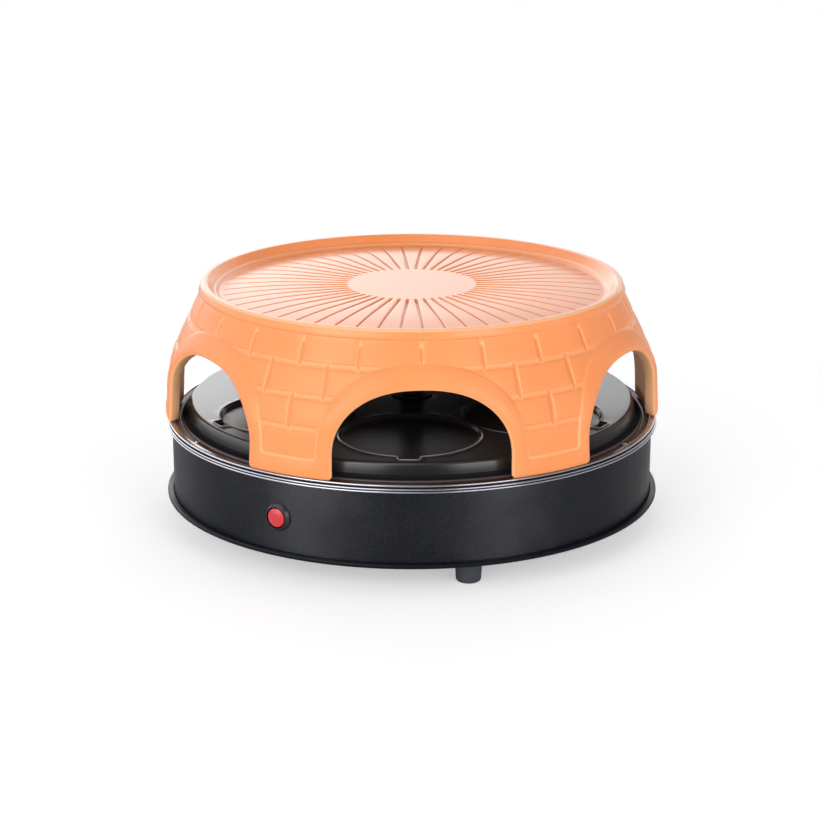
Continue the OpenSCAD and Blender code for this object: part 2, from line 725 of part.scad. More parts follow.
module column_stud() color(steel) translate([0, 0, z_tube - stud_down])
    cylinder(r = stud_r, h = z_reflector + reflector_t + cap_h - 1 - z_tube + stud_down, $fn = 48);

module column_leads() color([0.75, 0.73, 0.7]) for (x = [-lead_x, lead_x])
    translate([x, 0, z_tube]) cylinder(r = lead_r, h = z_head - z_tube, $fn = 32);

module heater_spider() color(steel) difference() {
    union() {
        ring(head_r, 0, z_arm, arm_t);
        for (i = [0:arm_n - 1]) rotate(-90 + i * 360 / arm_n) {
            translate([0, -arm_w / 2, z_arm]) cube([upper_ring_r + 5, arm_w, arm_t]);
            for (x = [upper_ring_r - tube_r - 2, upper_ring_r + tube_r + 0.5])
                translate([x, -arm_w / 2, z_arm]) cube([1.5, arm_w, arm_t + tube_r]);
        }
    }
    translate([0, 0, z_arm - cut])
        cylinder(r = column_r - column_wall, h = arm_t + 2 * cut);
}

module column_head() color(ceramic) difference() {
    turned([
        [stud_r + slip, z_head, 0], [head_r, z_head, 0], [head_r, z_reflector, 1.5],
        [stud_r + slip, z_reflector, 0]], 3);
    for (x = [-upper_leg_x, upper_leg_x])
        translate([x, head_r - socket_hole_len - 3, z_upper]) rotate([-90, 0, 0])
        cylinder(r = tube_r + slip, h = 2 * head_r, $fn = 48);
}

module upper_heater() color([0.35, 0.34, 0.34]) translate([0, 0, z_upper])
    swept(heater_route(upper_ring_r, upper_leg_x, head_r - socket_hole_len), tube_r, 10);

module upper_reflector() color(steel) turned([
    [stud_r + slip, z_reflector, 0], [reflector_r - 8, z_reflector, 3],
    [reflector_r, z_reflector - reflector_drop, 0],
    [reflector_r + reflector_t * 0.7, z_reflector - reflector_drop + reflector_t * 0.7, 0],
    [reflector_r - 8, z_reflector + reflector_t, 3],
    [stud_r + slip, z_reflector + reflector_t, 0]]);

module cap_nut() color(steel) translate([0, 0, z_reflector + reflector_t])
    nut(2 * stud_r, stud_r + slip, cap_h);

// ---------- dome ----------

// Height over half width of an arch: straight sides, then a full round head.
function arch_line(half_w, side_h, top_h, n = 14) =
    [for (i = [0:n]) let (t = 180 * i / n, c = cos(t), s = sin(t), e = 2 / 2.25)
        [half_w * sign(c) * pow(abs(c), e), side_h + (top_h - side_h) * pow(s, e)]];

// The prism of an arch, standing on the dome's feet and pointing along +X.
module arch_prism(half_w, side_h, top_h, flare) {
    toe = [for (i = [0:2]) half_w + flare * (1 - cos(45 * i)) ];
    rise = [for (i = [0:2]) flare * (1 - sin(45 * i))];
    right = [for (i = [2:-1:0]) [toe[i], rise[i]]];
    left = [for (i = [0:2]) [-toe[i], rise[i]]];
    translate([dome_foot_r * 0.6, 0, z_dome]) rotate([90, 0, 90])
        linear_extrude(height = dome_foot_r) polygon(concat(
            [[half_w + flare, -cut]], right, arch_line(half_w, side_h, top_h), left,
            [[-half_w - flare, -cut]]));
}

// The wall's outer line as corners, moved in by "inset" and run down to z_low.
function skin(inset, z_low) = [
    [dome_foot_r - inset - leg_taper * (z_low - z_dome), z_low, 0],
    [knee_r - inset, z_dome + knee_up, knee_round],
    [shoulder_r - inset, z_dome_top - shoulder_drop, 0]];

module dome_shell(inset) turned(concat(
    [[dome_foot_r - dome_wall, z_dome, 2], [dome_foot_r - inset, z_dome, foot_edge],
     skin(inset, z_dome)[1],
     [shoulder_r - inset * 0.5, z_dome_top - shoulder_drop, 1.5],
     [crest_r, z_dome_top, 2.2], [crest_r - 4, z_dome_top, 3],
     [top_floor_r, z_top_floor, 3], [0, z_top_floor, 0], [0, z_ceiling, 0],
     [shoulder_r - dome_wall - 4, z_ceiling, 8],
     [knee_r - dome_wall, z_dome + knee_up, knee_round - dome_wall]]));

// What lies inside the bottoms of the joints.
module dome_core(inset) turned([
    [0, z_dome - cut, 0], [dome_foot_r - inset, z_dome - cut, 0], skin(inset, z_dome)[1],
    [shoulder_r - inset, z_dome_top - shoulder_drop, 0],
    [crest_r - inset, z_dome_top + cut, 0], [0, z_dome_top + cut, 0]]);

// The layer between the middle of the wall and the faces of the frames.
module dome_skin() turned([
    [dome_foot_r - dome_wall / 2, z_dome, 0], [dome_foot_r, z_dome, foot_edge],
    skin(0, z_dome)[1], [shoulder_r, z_dome_top - shoulder_drop, 0],
    [shoulder_r - dome_wall / 2, z_dome_top - shoulder_drop, 0],
    [knee_r - dome_wall / 2, z_dome + knee_up, knee_round - dome_wall / 2]]);

module top_groove() {
    translate([disc_r, -groove_w / 2, z_top_floor - groove_d])
        cube([groove_end_r - disc_r, groove_w, groove_d + cut]);
    for (x = [disc_r, groove_end_r]) translate([x, 0, z_top_floor - groove_d])
        cylinder(r = groove_w / 2, h = groove_d + cut, $fn = 16);
}

// A bar that crosses the wall at height z, as wide as a joint and as high as a course.
module joint_bar(angle, z, h) rotate(angle)
    translate([0, -joint_w / 2, z]) cube([dome_foot_r, joint_w, h]);

module brick_joints() {
    for (z = course_z) translate([0, 0, z - joint_w / 2])
        ring(dome_foot_r, crest_r * 0.9, 0, joint_w);
    for (i = [0:brick_n - 1]) joint_bar(i * 360 / brick_n, course_z[course_n - 1], course_h);
    for (row = [1:course_n - 2], i = [0:5], side = row % 2 == 0 ? [0] : [-0.5, 0.5])
        joint_bar(30 + i * 60 + side * 360 / brick_n, course_z[course_n - 1 - row], course_h);
}

module dome() color(lid_red) rotate(dome_turn) difference() {
    union() {
        difference() {
            dome_shell(frame_out);
            difference() {
                brick_joints();
                dome_core(frame_out + joint_d);
            }
        }
        intersection() {
            dome_skin();
            union() {
                ring(dome_foot_r + cut, dome_foot_r - dome_wall, z_dome, foot_band_h);
                for (i = [0:5]) rotate(i * 60)
                    arch_prism(arch_half_w + frame_w, arch_side_h, arch_h + frame_top_w, 0);
            }
        }
    }
    for (i = [0:5]) rotate(i * 60) arch_prism(arch_half_w, arch_side_h, arch_h, 3);
    for (i = [0:groove_n - 1]) rotate((i + 0.5) * 360 / groove_n) top_groove();
}

bottom_pan();
housing_band();
rim_ring();
element_tray();
foot_front_left();
foot_front_right();
foot_rear_right();
foot_rear_left();
foot_screws();
foot_nuts();
housing_brackets();
cover_screws();
tray_screws();
lamp_bezel();
lamp_lens();
lamp_body();
lamp_nut();
cord_bush();
terminal_block();
terminal_screws();
thermal_cutout();
lower_heater();
heater_bushes();
heater_pins();
heater_clips();
centre_socket();
socket_contacts();
lead_wires();
baking_plate();
column_plug();
plug_pins();
column_tube();
column_collar();
column_stud();
column_leads();
heater_spider();
column_head();
upper_heater();
upper_reflector();
cap_nut();
dome();
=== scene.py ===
# %% [markdown]
# # A table-top pizza oven with a terracotta dome
#
# The working parts of this oven come in as a fixed frame of solids. This lesson dresses them:
# it sets up a studio, gives every solid a finish of its own, and models again, in finer detail,
# the pieces whose surface matters most. The first cell loads the frame and keeps its size, so
# that the dressed oven can be measured against it at the end.

import json
from math import asin, cos, hypot, pi, radians, sin, tan

import bmesh
import bpy
import numpy as np
from mathutils import Matrix, Vector
from mathutils.geometry import delaunay_2d_cdt


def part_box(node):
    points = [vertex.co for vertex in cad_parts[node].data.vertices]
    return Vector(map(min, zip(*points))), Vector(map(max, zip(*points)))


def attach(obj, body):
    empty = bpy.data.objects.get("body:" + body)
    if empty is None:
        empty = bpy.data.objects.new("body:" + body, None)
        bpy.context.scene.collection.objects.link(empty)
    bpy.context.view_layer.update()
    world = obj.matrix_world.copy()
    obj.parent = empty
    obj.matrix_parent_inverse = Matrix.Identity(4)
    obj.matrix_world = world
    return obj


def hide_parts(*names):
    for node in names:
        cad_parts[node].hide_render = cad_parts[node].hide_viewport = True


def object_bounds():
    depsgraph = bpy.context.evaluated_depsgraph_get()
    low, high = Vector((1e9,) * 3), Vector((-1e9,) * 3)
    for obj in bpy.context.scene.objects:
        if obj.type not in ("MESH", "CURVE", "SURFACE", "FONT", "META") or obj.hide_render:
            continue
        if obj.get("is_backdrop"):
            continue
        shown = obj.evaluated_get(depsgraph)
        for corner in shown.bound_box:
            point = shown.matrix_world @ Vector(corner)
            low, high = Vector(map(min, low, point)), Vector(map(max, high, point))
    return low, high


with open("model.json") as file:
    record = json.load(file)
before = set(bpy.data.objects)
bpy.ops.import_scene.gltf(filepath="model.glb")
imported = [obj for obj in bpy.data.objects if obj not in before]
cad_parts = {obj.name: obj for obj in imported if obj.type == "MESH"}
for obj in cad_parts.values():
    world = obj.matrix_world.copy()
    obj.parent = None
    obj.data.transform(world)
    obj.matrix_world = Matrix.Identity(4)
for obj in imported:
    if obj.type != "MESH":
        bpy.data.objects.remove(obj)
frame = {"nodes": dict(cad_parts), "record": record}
cad_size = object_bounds()
nodes = frame["nodes"]
scene = bpy.context.scene
MM = 0.001
print("solids in the frame:", len(nodes))


def numbers(value):
    """Turns nested vectors or arrays into plain lists of numbers."""
    return [numbers(v) for v in value] if hasattr(value, "__len__") else float(value)


# %% [markdown]
# ## The camera
#
# A long lens from about 1.7 metres away keeps the round rims from bulging.
# The camera looks down by about seventeen degrees, so the ribbed top and the arches show at once.

# %% Place the camera
lens = bpy.data.cameras.new("camera")
camera = bpy.data.objects.new("camera", lens)
scene.collection.objects.link(camera)
camera.location = (0.8168, -1.3758, 0.5653)
camera.rotation_euler = (radians(73.175), 0, radians(30.75))
lens.lens = 91.55
scene.camera = camera
scene.view_settings.view_transform = "Standard"
print("camera distance, m:", round(camera.location.length, 3))

# %% [markdown]
# ## Small helpers for materials
#
# Every finish is a short chain of shader nodes. A few helpers keep the chains readable. One turns
# a colour as a painter would name it, from 0 to 255, into the linear numbers that a shader wants,
# and one adds a node and fills its sockets. The others start a material, a colour ramp or a node
# group, and mix or mask with them.


# %% Helpers for nodes
def paint(r, g, b):
    """A display colour, 0 to 255, as the linear colour of a shader socket."""
    parts = [v / 255 for v in (r, g, b)]
    return [p / 12.92 if p <= 0.04045 else ((p + 0.055) / 1.055) ** 2.4 for p in parts] + [1]


def add(tree, kind, settings=None, **sockets):
    """Adds a node. Another node's output is linked to its socket, and any other value is set."""
    node = tree.nodes.new("ShaderNode" + kind)
    for key, value in (settings or {}).items():
        setattr(node, key, value)
    for key, value in sockets.items():
        socket = node.inputs[int(key[1:]) if key[0] == "_" else key.replace("_", " ")]
        if isinstance(value, bpy.types.NodeSocket):
            tree.links.new(value, socket)
        else:
            socket.default_value = value
    return node


finishes = {}


def new_material(name, **sockets):
    """Starts a material among the finishes, and returns its tree and its Principled shader."""
    material = bpy.data.materials.new(name)
    material.use_nodes = True
    tree = material.node_tree
    shader = tree.nodes["Principled BSDF"]
    for key, value in sockets.items():
        shader.inputs[key.replace("_", " ")].default_value = value
    finishes[name] = material
    return tree, shader


def ramp(tree, value, stops):
    """A colour ramp from (place, colour) pairs."""
    node = add(tree, "ValToRGB", _0=value)
    while len(node.color_ramp.elements) < len(stops):
        node.color_ramp.elements.new(0.5)
    for element, (place, colour) in zip(node.color_ramp.elements, stops):
        element.position, element.color = place, colour
    return node.outputs["Color"]


def new_group(name, inputs, outputs):
    """Starts a shader group with named number inputs and named outputs."""
    tree = bpy.data.node_groups.new(name, "ShaderNodeTree")
    for key, value in inputs.items():
        socket = tree.interface.new_socket(key, in_out="INPUT", socket_type="NodeSocketFloat")
        socket.default_value = value
    for key in outputs:
        tree.interface.new_socket(key, in_out="OUTPUT", socket_type="NodeSocketFloat")
    return tree, tree.nodes.new("NodeGroupInput"), tree.nodes.new("NodeGroupOutput")


def use_group(tree, group, **inputs):
    """Places a shader group in a material with its own values."""
    node = tree.nodes.new("ShaderNodeGroup")
    node.node_tree = group
    for key, value in inputs.items():
        node.inputs[key.replace("_", " ")].default_value = value
    return node


def point_of(tree):
    """The place of a point on the object, in metres."""
    return add(tree, "TexCoord").outputs["Object"]


def height_of(tree):
    """The height of a point on the object."""
    return add(tree, "SeparateXYZ", Vector=point_of(tree)).outputs["Z"]


def length_along(tree, vector, keep):
    """A vector's length when only the directions marked 1 in keep count."""
    kept = add(tree, "VectorMath", {"operation": "MULTIPLY"}, _0=vector, _1=keep)
    return add(tree, "VectorMath", {"operation": "LENGTH"}, _0=kept.outputs[0]).outputs["Value"]


def between(tree, value, start, end, low=0.0, high=1.0, soft=False):
    """Maps a value that runs from start to end to low and high."""
    kind = {"interpolation_type": "SMOOTHSTEP"} if soft else None
    return add(tree, "MapRange", kind, Value=value, From_Min=start, From_Max=end, To_Min=low,
               To_Max=high).outputs[0]


def blend(tree, share, first, second):
    """Mixes two colours."""
    return add(tree, "Mix", {"data_type": "RGBA"}, _0=share, _6=first, _7=second).outputs[2]


def calc(tree, operation, first, second):
    """One step of arithmetic."""
    return add(tree, "Math", {"operation": operation}, _0=first, _1=second).outputs[0]


def repaint(tree, share, colour, near=True):
    """Puts a second colour over a finish's own, where share is 1, or where it is 0."""
    base = tree.nodes["Principled BSDF"].inputs["Base Color"]
    own = base.links[0].from_socket
    pair = (own, colour) if near else (colour, own)
    tree.links.new(blend(tree, share, *pair), base)


# %% [markdown]
# ## Shared effects
#
# Three effects are node groups, built once and placed in a finish with its own values. *Grain* is a
# fine speckle, as powder paint and fired clay have. *Turned lines* are the fine rings that a lathe
# or a polishing wheel leaves round an axis. *Mottle* is a slow, cloudy change that keeps a large
# surface from looking like one flat tone.

# %% Build the shared groups
grain, g_in, g_out = new_group("grain", {"Size mm": 0.5, "Detail": 2.0}, ["Height", "Mask"])
g_scale = calc(grain, "DIVIDE", 1000.0, g_in.outputs["Size mm"])
g_noise = add(grain, "TexNoise", Vector=point_of(grain), Scale=g_scale,
              Detail=g_in.outputs["Detail"]).outputs[0]
grain.links.new(g_noise, g_out.inputs["Height"])
grain.links.new(between(grain, g_noise, 0.52, 0.72), g_out.inputs["Mask"])

turned, t_in, t_out = new_group("turned_lines", {"Pitch mm": 0.4}, ["Height"])
t_radius = length_along(turned, point_of(turned), (1, 1, 0))
t_line = add(turned, "CombineXYZ", X=t_radius, Y=height_of(turned))
t_scale = calc(turned, "DIVIDE", 1000.0, t_in.outputs["Pitch mm"])
t_noise = add(turned, "TexNoise", {"noise_dimensions": "2D"}, Vector=t_line.outputs[0],
              Scale=t_scale, Detail=1.0)
turned.links.new(t_noise.outputs[0], t_out.inputs["Height"])

mottle, m_in, m_out = new_group("mottle", {"Size mm": 40.0}, ["Mask"])
m_scale = calc(mottle, "DIVIDE", 1000.0, m_in.outputs["Size mm"])
m_noise = add(mottle, "TexNoise", Vector=point_of(mottle), Scale=m_scale, Detail=3.0,
              Roughness=0.55).outputs[0]
mottle.links.new(between(mottle, m_noise, 0.3, 0.7), m_out.inputs["Mask"])
print("shared groups:", [g.name for g in (grain, turned, mottle)])

# %% [markdown]
# ## Finishes for the metal and plastic parts
#
# Most of the oven's solids already have the right shape and need only their finish. Each recipe
# below starts from the same pattern: a base colour broken up by mottle, a roughness that changes a
# little over the surface, and a fine relief that goes through a Bump node.


# %% A recipe for painted, moulded and metal parts
def finish(name, dark, light, rough, metal=0.0, size=0.5, relief=0.02, lines=0.0, cloud=40.0,
           dots=None, **sockets):
    """A finish whose colour drifts from dark to light, with grain or turned lines in relief."""
    tree, shader = new_material(name, Metallic=metal, **sockets)
    cloudy = use_group(tree, mottle, Size_mm=cloud).outputs["Mask"]
    speckle = use_group(tree, grain, Size_mm=size)
    colour = ramp(tree, cloudy, [(0, paint(*dark)), (1, paint(*light))])
    if dots:
        colour = blend(tree, speckle.outputs["Mask"], colour, paint(*dots))
    tree.links.new(colour, shader.inputs["Base Color"])
    tree.links.new(between(tree, cloudy, 0.0, 1.0, *rough), shader.inputs["Roughness"])
    pattern = use_group(tree, turned, Pitch_mm=lines) if lines else speckle
    bump = add(tree, "Bump", Strength=0.6, Distance=relief * MM, Height=pattern.outputs["Height"])
    tree.links.new(bump.outputs[0], shader.inputs["Normal"])


finish("black_paint", (8, 11, 17), (13, 16, 24), (0.33, 0.42), size=0.8, relief=0.12,
       dots=(35, 39, 50), Specular_IOR_Level=0.15)
finish("rim_steel", (196, 195, 204), (208, 207, 215), (0.14, 0.2), 1.0, lines=0.9, relief=0.002)
finish("tray_steel", (80, 50, 35), (100, 62, 42), (0.3, 0.42), size=0.6, relief=0.03,
       Specular_IOR_Level=0.2)
finish("screw_steel", (190, 190, 194), (214, 214, 218), (0.2, 0.35), 1.0, cloud=5.0, relief=0.01)
finish("bracket_steel", (160, 162, 166), (184, 186, 190), (0.3, 0.42), 1.0, cloud=12.0)
finish("black_plastic", (24, 25, 27), (34, 35, 38), (0.34, 0.44), size=0.3, relief=0.03)
finish("ceramic", (214, 206, 188), (232, 226, 210), (0.4, 0.55), size=0.4, relief=0.04, cloud=8.0)
finish("brass", (196, 158, 84), (222, 186, 108), (0.22, 0.34), 1.0, cloud=4.0, relief=0.01)
finish("heater_sheath", (58, 56, 54), (82, 76, 70), (0.38, 0.52), 0.85, cloud=18.0, size=0.4,
       relief=0.03)
finish("wire_sleeve", (196, 190, 180), (222, 218, 208), (0.6, 0.75), cloud=6.0, size=0.25,
       relief=0.06)
finish("plate_coating", (33, 31, 33), (40, 37, 40), (0.44, 0.52), size=0.32, relief=0.09,
       cloud=60.0, Coat_Roughness=0.24, Coat_IOR=1.7, Specular_IOR_Level=0.0)

# The feet are a greyer rubber, the gaps in the rim are steel in shade, and the column over the
# baking plate is near-black steel.
finish("foot_rubber", (56, 58, 64), (66, 69, 76), (0.42, 0.52), size=0.4, relief=0.04)
finish("gap_shade", (40, 40, 44), (52, 52, 57), (0.3, 0.42), 0.6, size=0.4, relief=0.01)
finish("dark_steel", (24, 24, 25), (30, 29, 29), (0.6, 0.72), size=0.4, relief=0.03, cloud=14.0,
       Specular_IOR_Level=0.12)
print("finishes:", len(finishes))

# %% [markdown]
# The plate's baking surface is dull from use, and its border keeps the gloss of the coating. The
# gloss fades again down the skirt. A painted highlight, a paler grey with a full coat, lies on the
# outer slope of the bead round each place and on the upper edge of the flange, and fades out
# towards the middle of the plate: the mesh marks it with the relief attribute.

# %% Gloss and painted highlight of the plate's coating
tree = finishes["plate_coating"].node_tree
from_axis = length_along(tree, point_of(tree), (1, 1, 0))
border = between(tree, from_axis, 0.08, 0.145, 0.04, 1.0, soft=True)
height = height_of(tree)
skirt = between(tree, height, 0.0885, 0.0945, 0.3)
foot = between(tree, height, 0.084, 0.086, 0.1)
painted_highlight = add(tree, "Attribute", {"attribute_name": "relief"}).outputs["Fac"]
gloss = calc(tree, "MULTIPLY", border, calc(tree, "MULTIPLY", skirt, foot))
gloss = calc(tree, "MAXIMUM", gloss, painted_highlight)
tree.links.new(gloss, tree.nodes["Principled BSDF"].inputs["Coat Weight"])
# Painted highlight: a paler grey where the mask is 1.
repaint(tree, painted_highlight, paint(120, 118, 121))
print("nodes in the coating:", len(tree.nodes))

# %% [markdown]
# The red lens of the pilot lamp is a moulded cap with fine cells inside. A saturated base, a faint
# glow and a glossy coat stand for the light that enters it and comes back deep red. The bezel round
# it is black plastic. Close to the lens, a ring of painted shade stands for the dark gap where the
# two pieces meet: there the bezel's colour turns near black and its gloss dies away.

# %% The lamp's red lens
tree, shader = new_material("lamp_red", Roughness=0.3, IOR=1.55, Coat_Weight=1.0,
                            Coat_Roughness=0.28, Emission_Strength=0.1)
cells = add(tree, "TexVoronoi", Vector=point_of(tree), Scale=900.0).outputs["Distance"]
red = ramp(tree, cells, [(0, paint(206, 22, 34)), (1, paint(194, 14, 26))])
tree.links.new(red, shader.inputs["Base Color"])
tree.links.new(red, shader.inputs["Emission Color"])
bump = add(tree, "Bump", Strength=0.2, Distance=0.06 * MM, Height=cells)
tree.links.new(bump.outputs[0], shader.inputs["Normal"])

# %% The lamp's black bezel
low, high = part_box("lamp_lens")
lens_middle = ((low[0] + high[0]) / 2, 0, (low[2] + high[2]) / 2)
lens_edge = (high[0] - low[0]) / 2
finish("bezel_black", (30, 31, 33), (42, 43, 46), (0.26, 0.34), size=0.3, relief=0.03)
tree = finishes["bezel_black"].node_tree
offset = add(tree, "VectorMath", {"operation": "SUBTRACT"}, _0=point_of(tree), _1=lens_middle)
from_lens = length_along(tree, offset.outputs[0], (1, 0, 1))
# The mask is 0 on the ring of painted shade round the lens and 1 beyond it.
clear_of_painted_shade = between(tree, from_lens, lens_edge + 0.7 * MM, lens_edge + 1.2 * MM)
repaint(tree, clear_of_painted_shade, paint(4, 3, 3), near=False)
tree.links.new(calc(tree, "MULTIPLY", clear_of_painted_shade, 0.6),
               tree.nodes["Principled BSDF"].inputs["Specular IOR Level"])
print("lens is", round(2 * lens_edge / MM, 1), "mm across")

# %% [markdown]
# ## The fired clay
#
# The dome is orange clay under a thin glaze, satin on the wall and glossy on the top. The mesh
# carries an attribute named *relief*, 1 at the bottom of a joint and 0 on a brick's face. Halfway
# between them runs the joint's edge, where a paler colour is a painted highlight for the light that
# the edge catches.
# Inside, where there is no glaze, the clay is pale and dull: the attribute is below zero there.

# %% The clay's material
tree, shader = new_material("terracotta", IOR=1.5, Specular_IOR_Level=0.2, Coat_Roughness=0.16,
                            Coat_IOR=1.5)
relief = add(tree, "Attribute", {"attribute_name": "relief"}).outputs["Fac"]
cloudy = use_group(tree, mottle, Size_mm=55.0).outputs["Mask"]
speckle = use_group(tree, grain, Size_mm=0.7, Detail=3.0)
face = ramp(tree, cloudy, [(0, paint(252, 152, 91)), (1, paint(255, 159, 100))])
# Painted highlight: low tones at the joints' and the edges' sides turn the clay paler.
edges = blend(tree, between(tree, relief, 0.05, 0.5), face, paint(255, 190, 137))
glazed = blend(tree, between(tree, relief, 0.5, 0.95), edges, paint(248, 149, 87))
raw = between(tree, relief, -0.1, -0.9)
colour = blend(tree, raw, glazed, paint(255, 200, 150))
dots = add(tree, "Mix", {"data_type": "RGBA", "blend_type": "MULTIPLY"},
           _0=speckle.outputs["Mask"], _6=colour, _7=paint(252, 248, 244))
tree.links.new(dots.outputs[2], shader.inputs["Base Color"])
tree.links.new(between(tree, raw, 0.0, 1.0, 0.3, 0.7), shader.inputs["Roughness"])
bump = add(tree, "Bump", Strength=0.5, Distance=0.04 * MM, Height=speckle.outputs["Height"])
tree.links.new(bump.outputs[0], shader.inputs["Normal"])
glaze = between(tree, height_of(tree), 0.179, 0.184, 0.06, 0.45, soft=True)
tree.links.new(glaze, shader.inputs["Coat Weight"])
print("nodes in the clay:", len(tree.nodes))

# %% [markdown]
# ## Dress the solids
#
# The record says which solids share a slot, so one loop can give each solid its finish.

# %% Give each solid its finish
slots = {part["node"]: part["material_slot"] for part in frame["record"]["subparts"]}


def wear(piece, name):
    """Puts one finish on a piece in place of what it had."""
    piece.data.materials.clear()
    piece.data.materials.append(finishes[name])


for node, solid in nodes.items():
    dark_column = node in ("column_tube", "column_collar")
    wear(solid, "dark_steel" if dark_column else slots[node])
wear(nodes["lamp_bezel"], "bezel_black")
print("solids dressed:", len(slots))

# %% [markdown]
# ## The dome, 1: its outline as numbers
#
# The dome is a round clay wall that stands on six legs, with an arched mouth between each pair of
# legs. The wall leans in a little, turns over a soft knee and climbs to a thick rim that holds a
# sunken, ribbed top. A dome like this could be spun and then cut by six arch-shaped cutters, but
# the cuts would leave hard edges where fired clay is soft. So one sixth of the wall is drawn flat,
# like a piece of rolled-out dough: every edge and joint of the relief is a line in that drawing,
# the drawing is filled with triangles that follow the lines, and each point is then moved to its
# place on the round wall. All sizes here are in millimetres.


# %% Corners and profiles
def rounded(points, steps=8):
    """A profile of (r, z, corner radius) as (r, z) points with its corners rounded."""
    out = []
    for i, (r, z, corner) in enumerate(points):
        here = Vector((r, z))
        if corner == 0 or i in (0, len(points) - 1):
            out.append((r, z))
            continue
        back = (Vector(points[i - 1][:2]) - here).normalized()
        on = (Vector(points[i + 1][:2]) - here).normalized()
        half = back.angle(on) / 2
        middle = here + (back + on).normalized() * (corner / sin(half))
        start, end = (here + d * (corner / tan(half)) - middle for d in (back, on))
        turn = start.angle_signed(end)
        for k in range(steps + 1):
            part = start.copy()
            part.rotate(Matrix.Rotation(-turn * k / steps, 2))
            out.append(tuple(middle + part))
    return out


foot_z, rim_z, ceiling_z = 84.0, 190.8, 172.5
foot_r, knee, shoulder = 196.0, (193.72, 129.5), (166.2, 186.6)
wall = 10.0
outer_line = rounded([(foot_r, foot_z, 0), (*knee, 60), (*shoulder, 0)], 24)
inner_line = rounded([(foot_r - wall, foot_z, 0), (knee[0] - wall, knee[1], 50),
                      (shoulder[0] - wall - 4, ceiling_z, 8), (0, ceiling_z, 0)], 12)


def outer_r(z):
    """Radius of the raised frames' faces at height z."""
    return np.interp(z, [p[1] for p in outer_line], [p[0] for p in outer_line])


def inner_r(z):
    """Radius of the inner wall at height z, leaving out the turn under the ceiling."""
    side = inner_line[:-10]
    return np.interp(z, [p[1] for p in side], [p[0] for p in side])


print("wall at foot, knee and shoulder:", [round(float(outer_r(z)), 1) for z in (84, 129.5, 186.6)])

# %% [markdown]
# ## The dome, 2: the flat drawing
#
# The drawing's across direction is the angle from an arch's middle, stretched to millimetres, and
# its up direction is height. The mouth is a flattened ellipse on straight sides. Round it runs a
# raised frame, and along the legs' feet a raised band. Courses of bricks fill what is left, up to
# a plain crest under the rim.

# %% Lines of the drawing
SPREAD = 190.0                       # the wall's radius at which the drawing has its true width
SIDE = radians(30) * SPREAD          # half the drawing's width
SIXTHS = [k * pi / 3 for k in range(6)]
half_w, side_h, arch_h = 66.0, 16.0, 66.2
frame_w, frame_top, frame_out = 11.0, 17.0, 1.9
band_z = foot_z + 14
courses = [band_z, 120.1, 142.3, 163.6, 182.4]
crest_z, joint_d = courses[-1], 1.5
toe_r, hood_r = 3.0, 2.5             # radii of the mouth's foot and of the frame's foot
LINE_STEP, ARCH_STEPS = 2.2, 60      # spacing of a line's points, and points in half an arch
ARCH_POWER = 2 / 2.25                # 1 would make the arch an ellipse, and less is squarer


def arch_points(w, side, top, steps):
    """Half of an arch's line from its right side up to its top, in its own plane."""
    return [(w * cos(t) ** ARCH_POWER, foot_z + side + (top - side) * sin(t) ** ARCH_POWER)
            for t in [pi / 2 * (i / steps) for i in range(steps)]] + [(0, foot_z + top)]


def flatten(points):
    """Moves points of the arch's plane to the drawing."""
    return [(asin(y / float(outer_r(z))) * SPREAD, z) for y, z in points]


def spaced(points, step):
    """The same line with points an even step apart."""
    p = np.array(points, float)
    run = np.concatenate([[0], np.cumsum(np.hypot(*np.diff(p, axis=0).T))])
    places = np.linspace(0, run[-1], max(2, int(round(run[-1] / step)) + 1))
    return np.column_stack([np.interp(places, run, p[:, 0]), np.interp(places, run, p[:, 1])])


def beside(line, d):
    """A line moved to its left by d."""
    along = np.gradient(line, axis=0)
    along /= np.linalg.norm(along, axis=1)[:, None]
    return line + d * np.column_stack([-along[:, 1], along[:, 0]])


def both_sides(right):
    """Adds the mirror half of a line that runs from the drawing's right to its middle."""
    right = np.array(right)
    return np.vstack([right, right[-2::-1] * [-1, 1]])


# %% Draw the mouth and the frame
toe = [(half_w + toe_r * (1 - cos(t)), foot_z + toe_r * (1 - sin(t)))
       for t in np.linspace(0, pi / 2, 7)]
mouth = flatten(toe[::-1]) + flatten(arch_points(half_w, side_h, arch_h, ARCH_STEPS))
mouth = both_sides(spaced([(SIDE, foot_z)] + mouth, LINE_STEP))
hood_w = half_w + frame_w
hood = flatten([(hood_w, band_z + hood_r),
                *arch_points(hood_w, side_h, arch_h + frame_top, ARCH_STEPS)])
corner = [(hood[0][0] + hood_r * (1 - sin(t)), band_z + hood_r * (1 - cos(t)))
          for t in np.linspace(0, pi / 2, 6)]
hood = both_sides(spaced([(SIDE, band_z)] + corner + hood, LINE_STEP))
print("points round the mouth and the frame:", len(mouth), len(hood))

# %% [markdown]
# ## The dome, 3: relief
#
# The relief is worked out from distances: how far a point is from the mouth's edge, from the edge
# of the raised frame and from the nearest joint. Each edge is a soft step, because the glaze and
# the mould leave no sharp corner in fired clay. Bricks swell a little between their joints, and
# the frames swell between their edges. The second result, the tone, becomes the relief attribute
# of the clay's material. Besides the joints, it holds painted highlights: paler lines along the
# upright joints, the mouth's edge and the frames' edges, stronger low on the wall, and faint ones
# on the level joints. In *smooth((d - start) / width)*, a step begins at the distance *start*
# and is *width* wide.

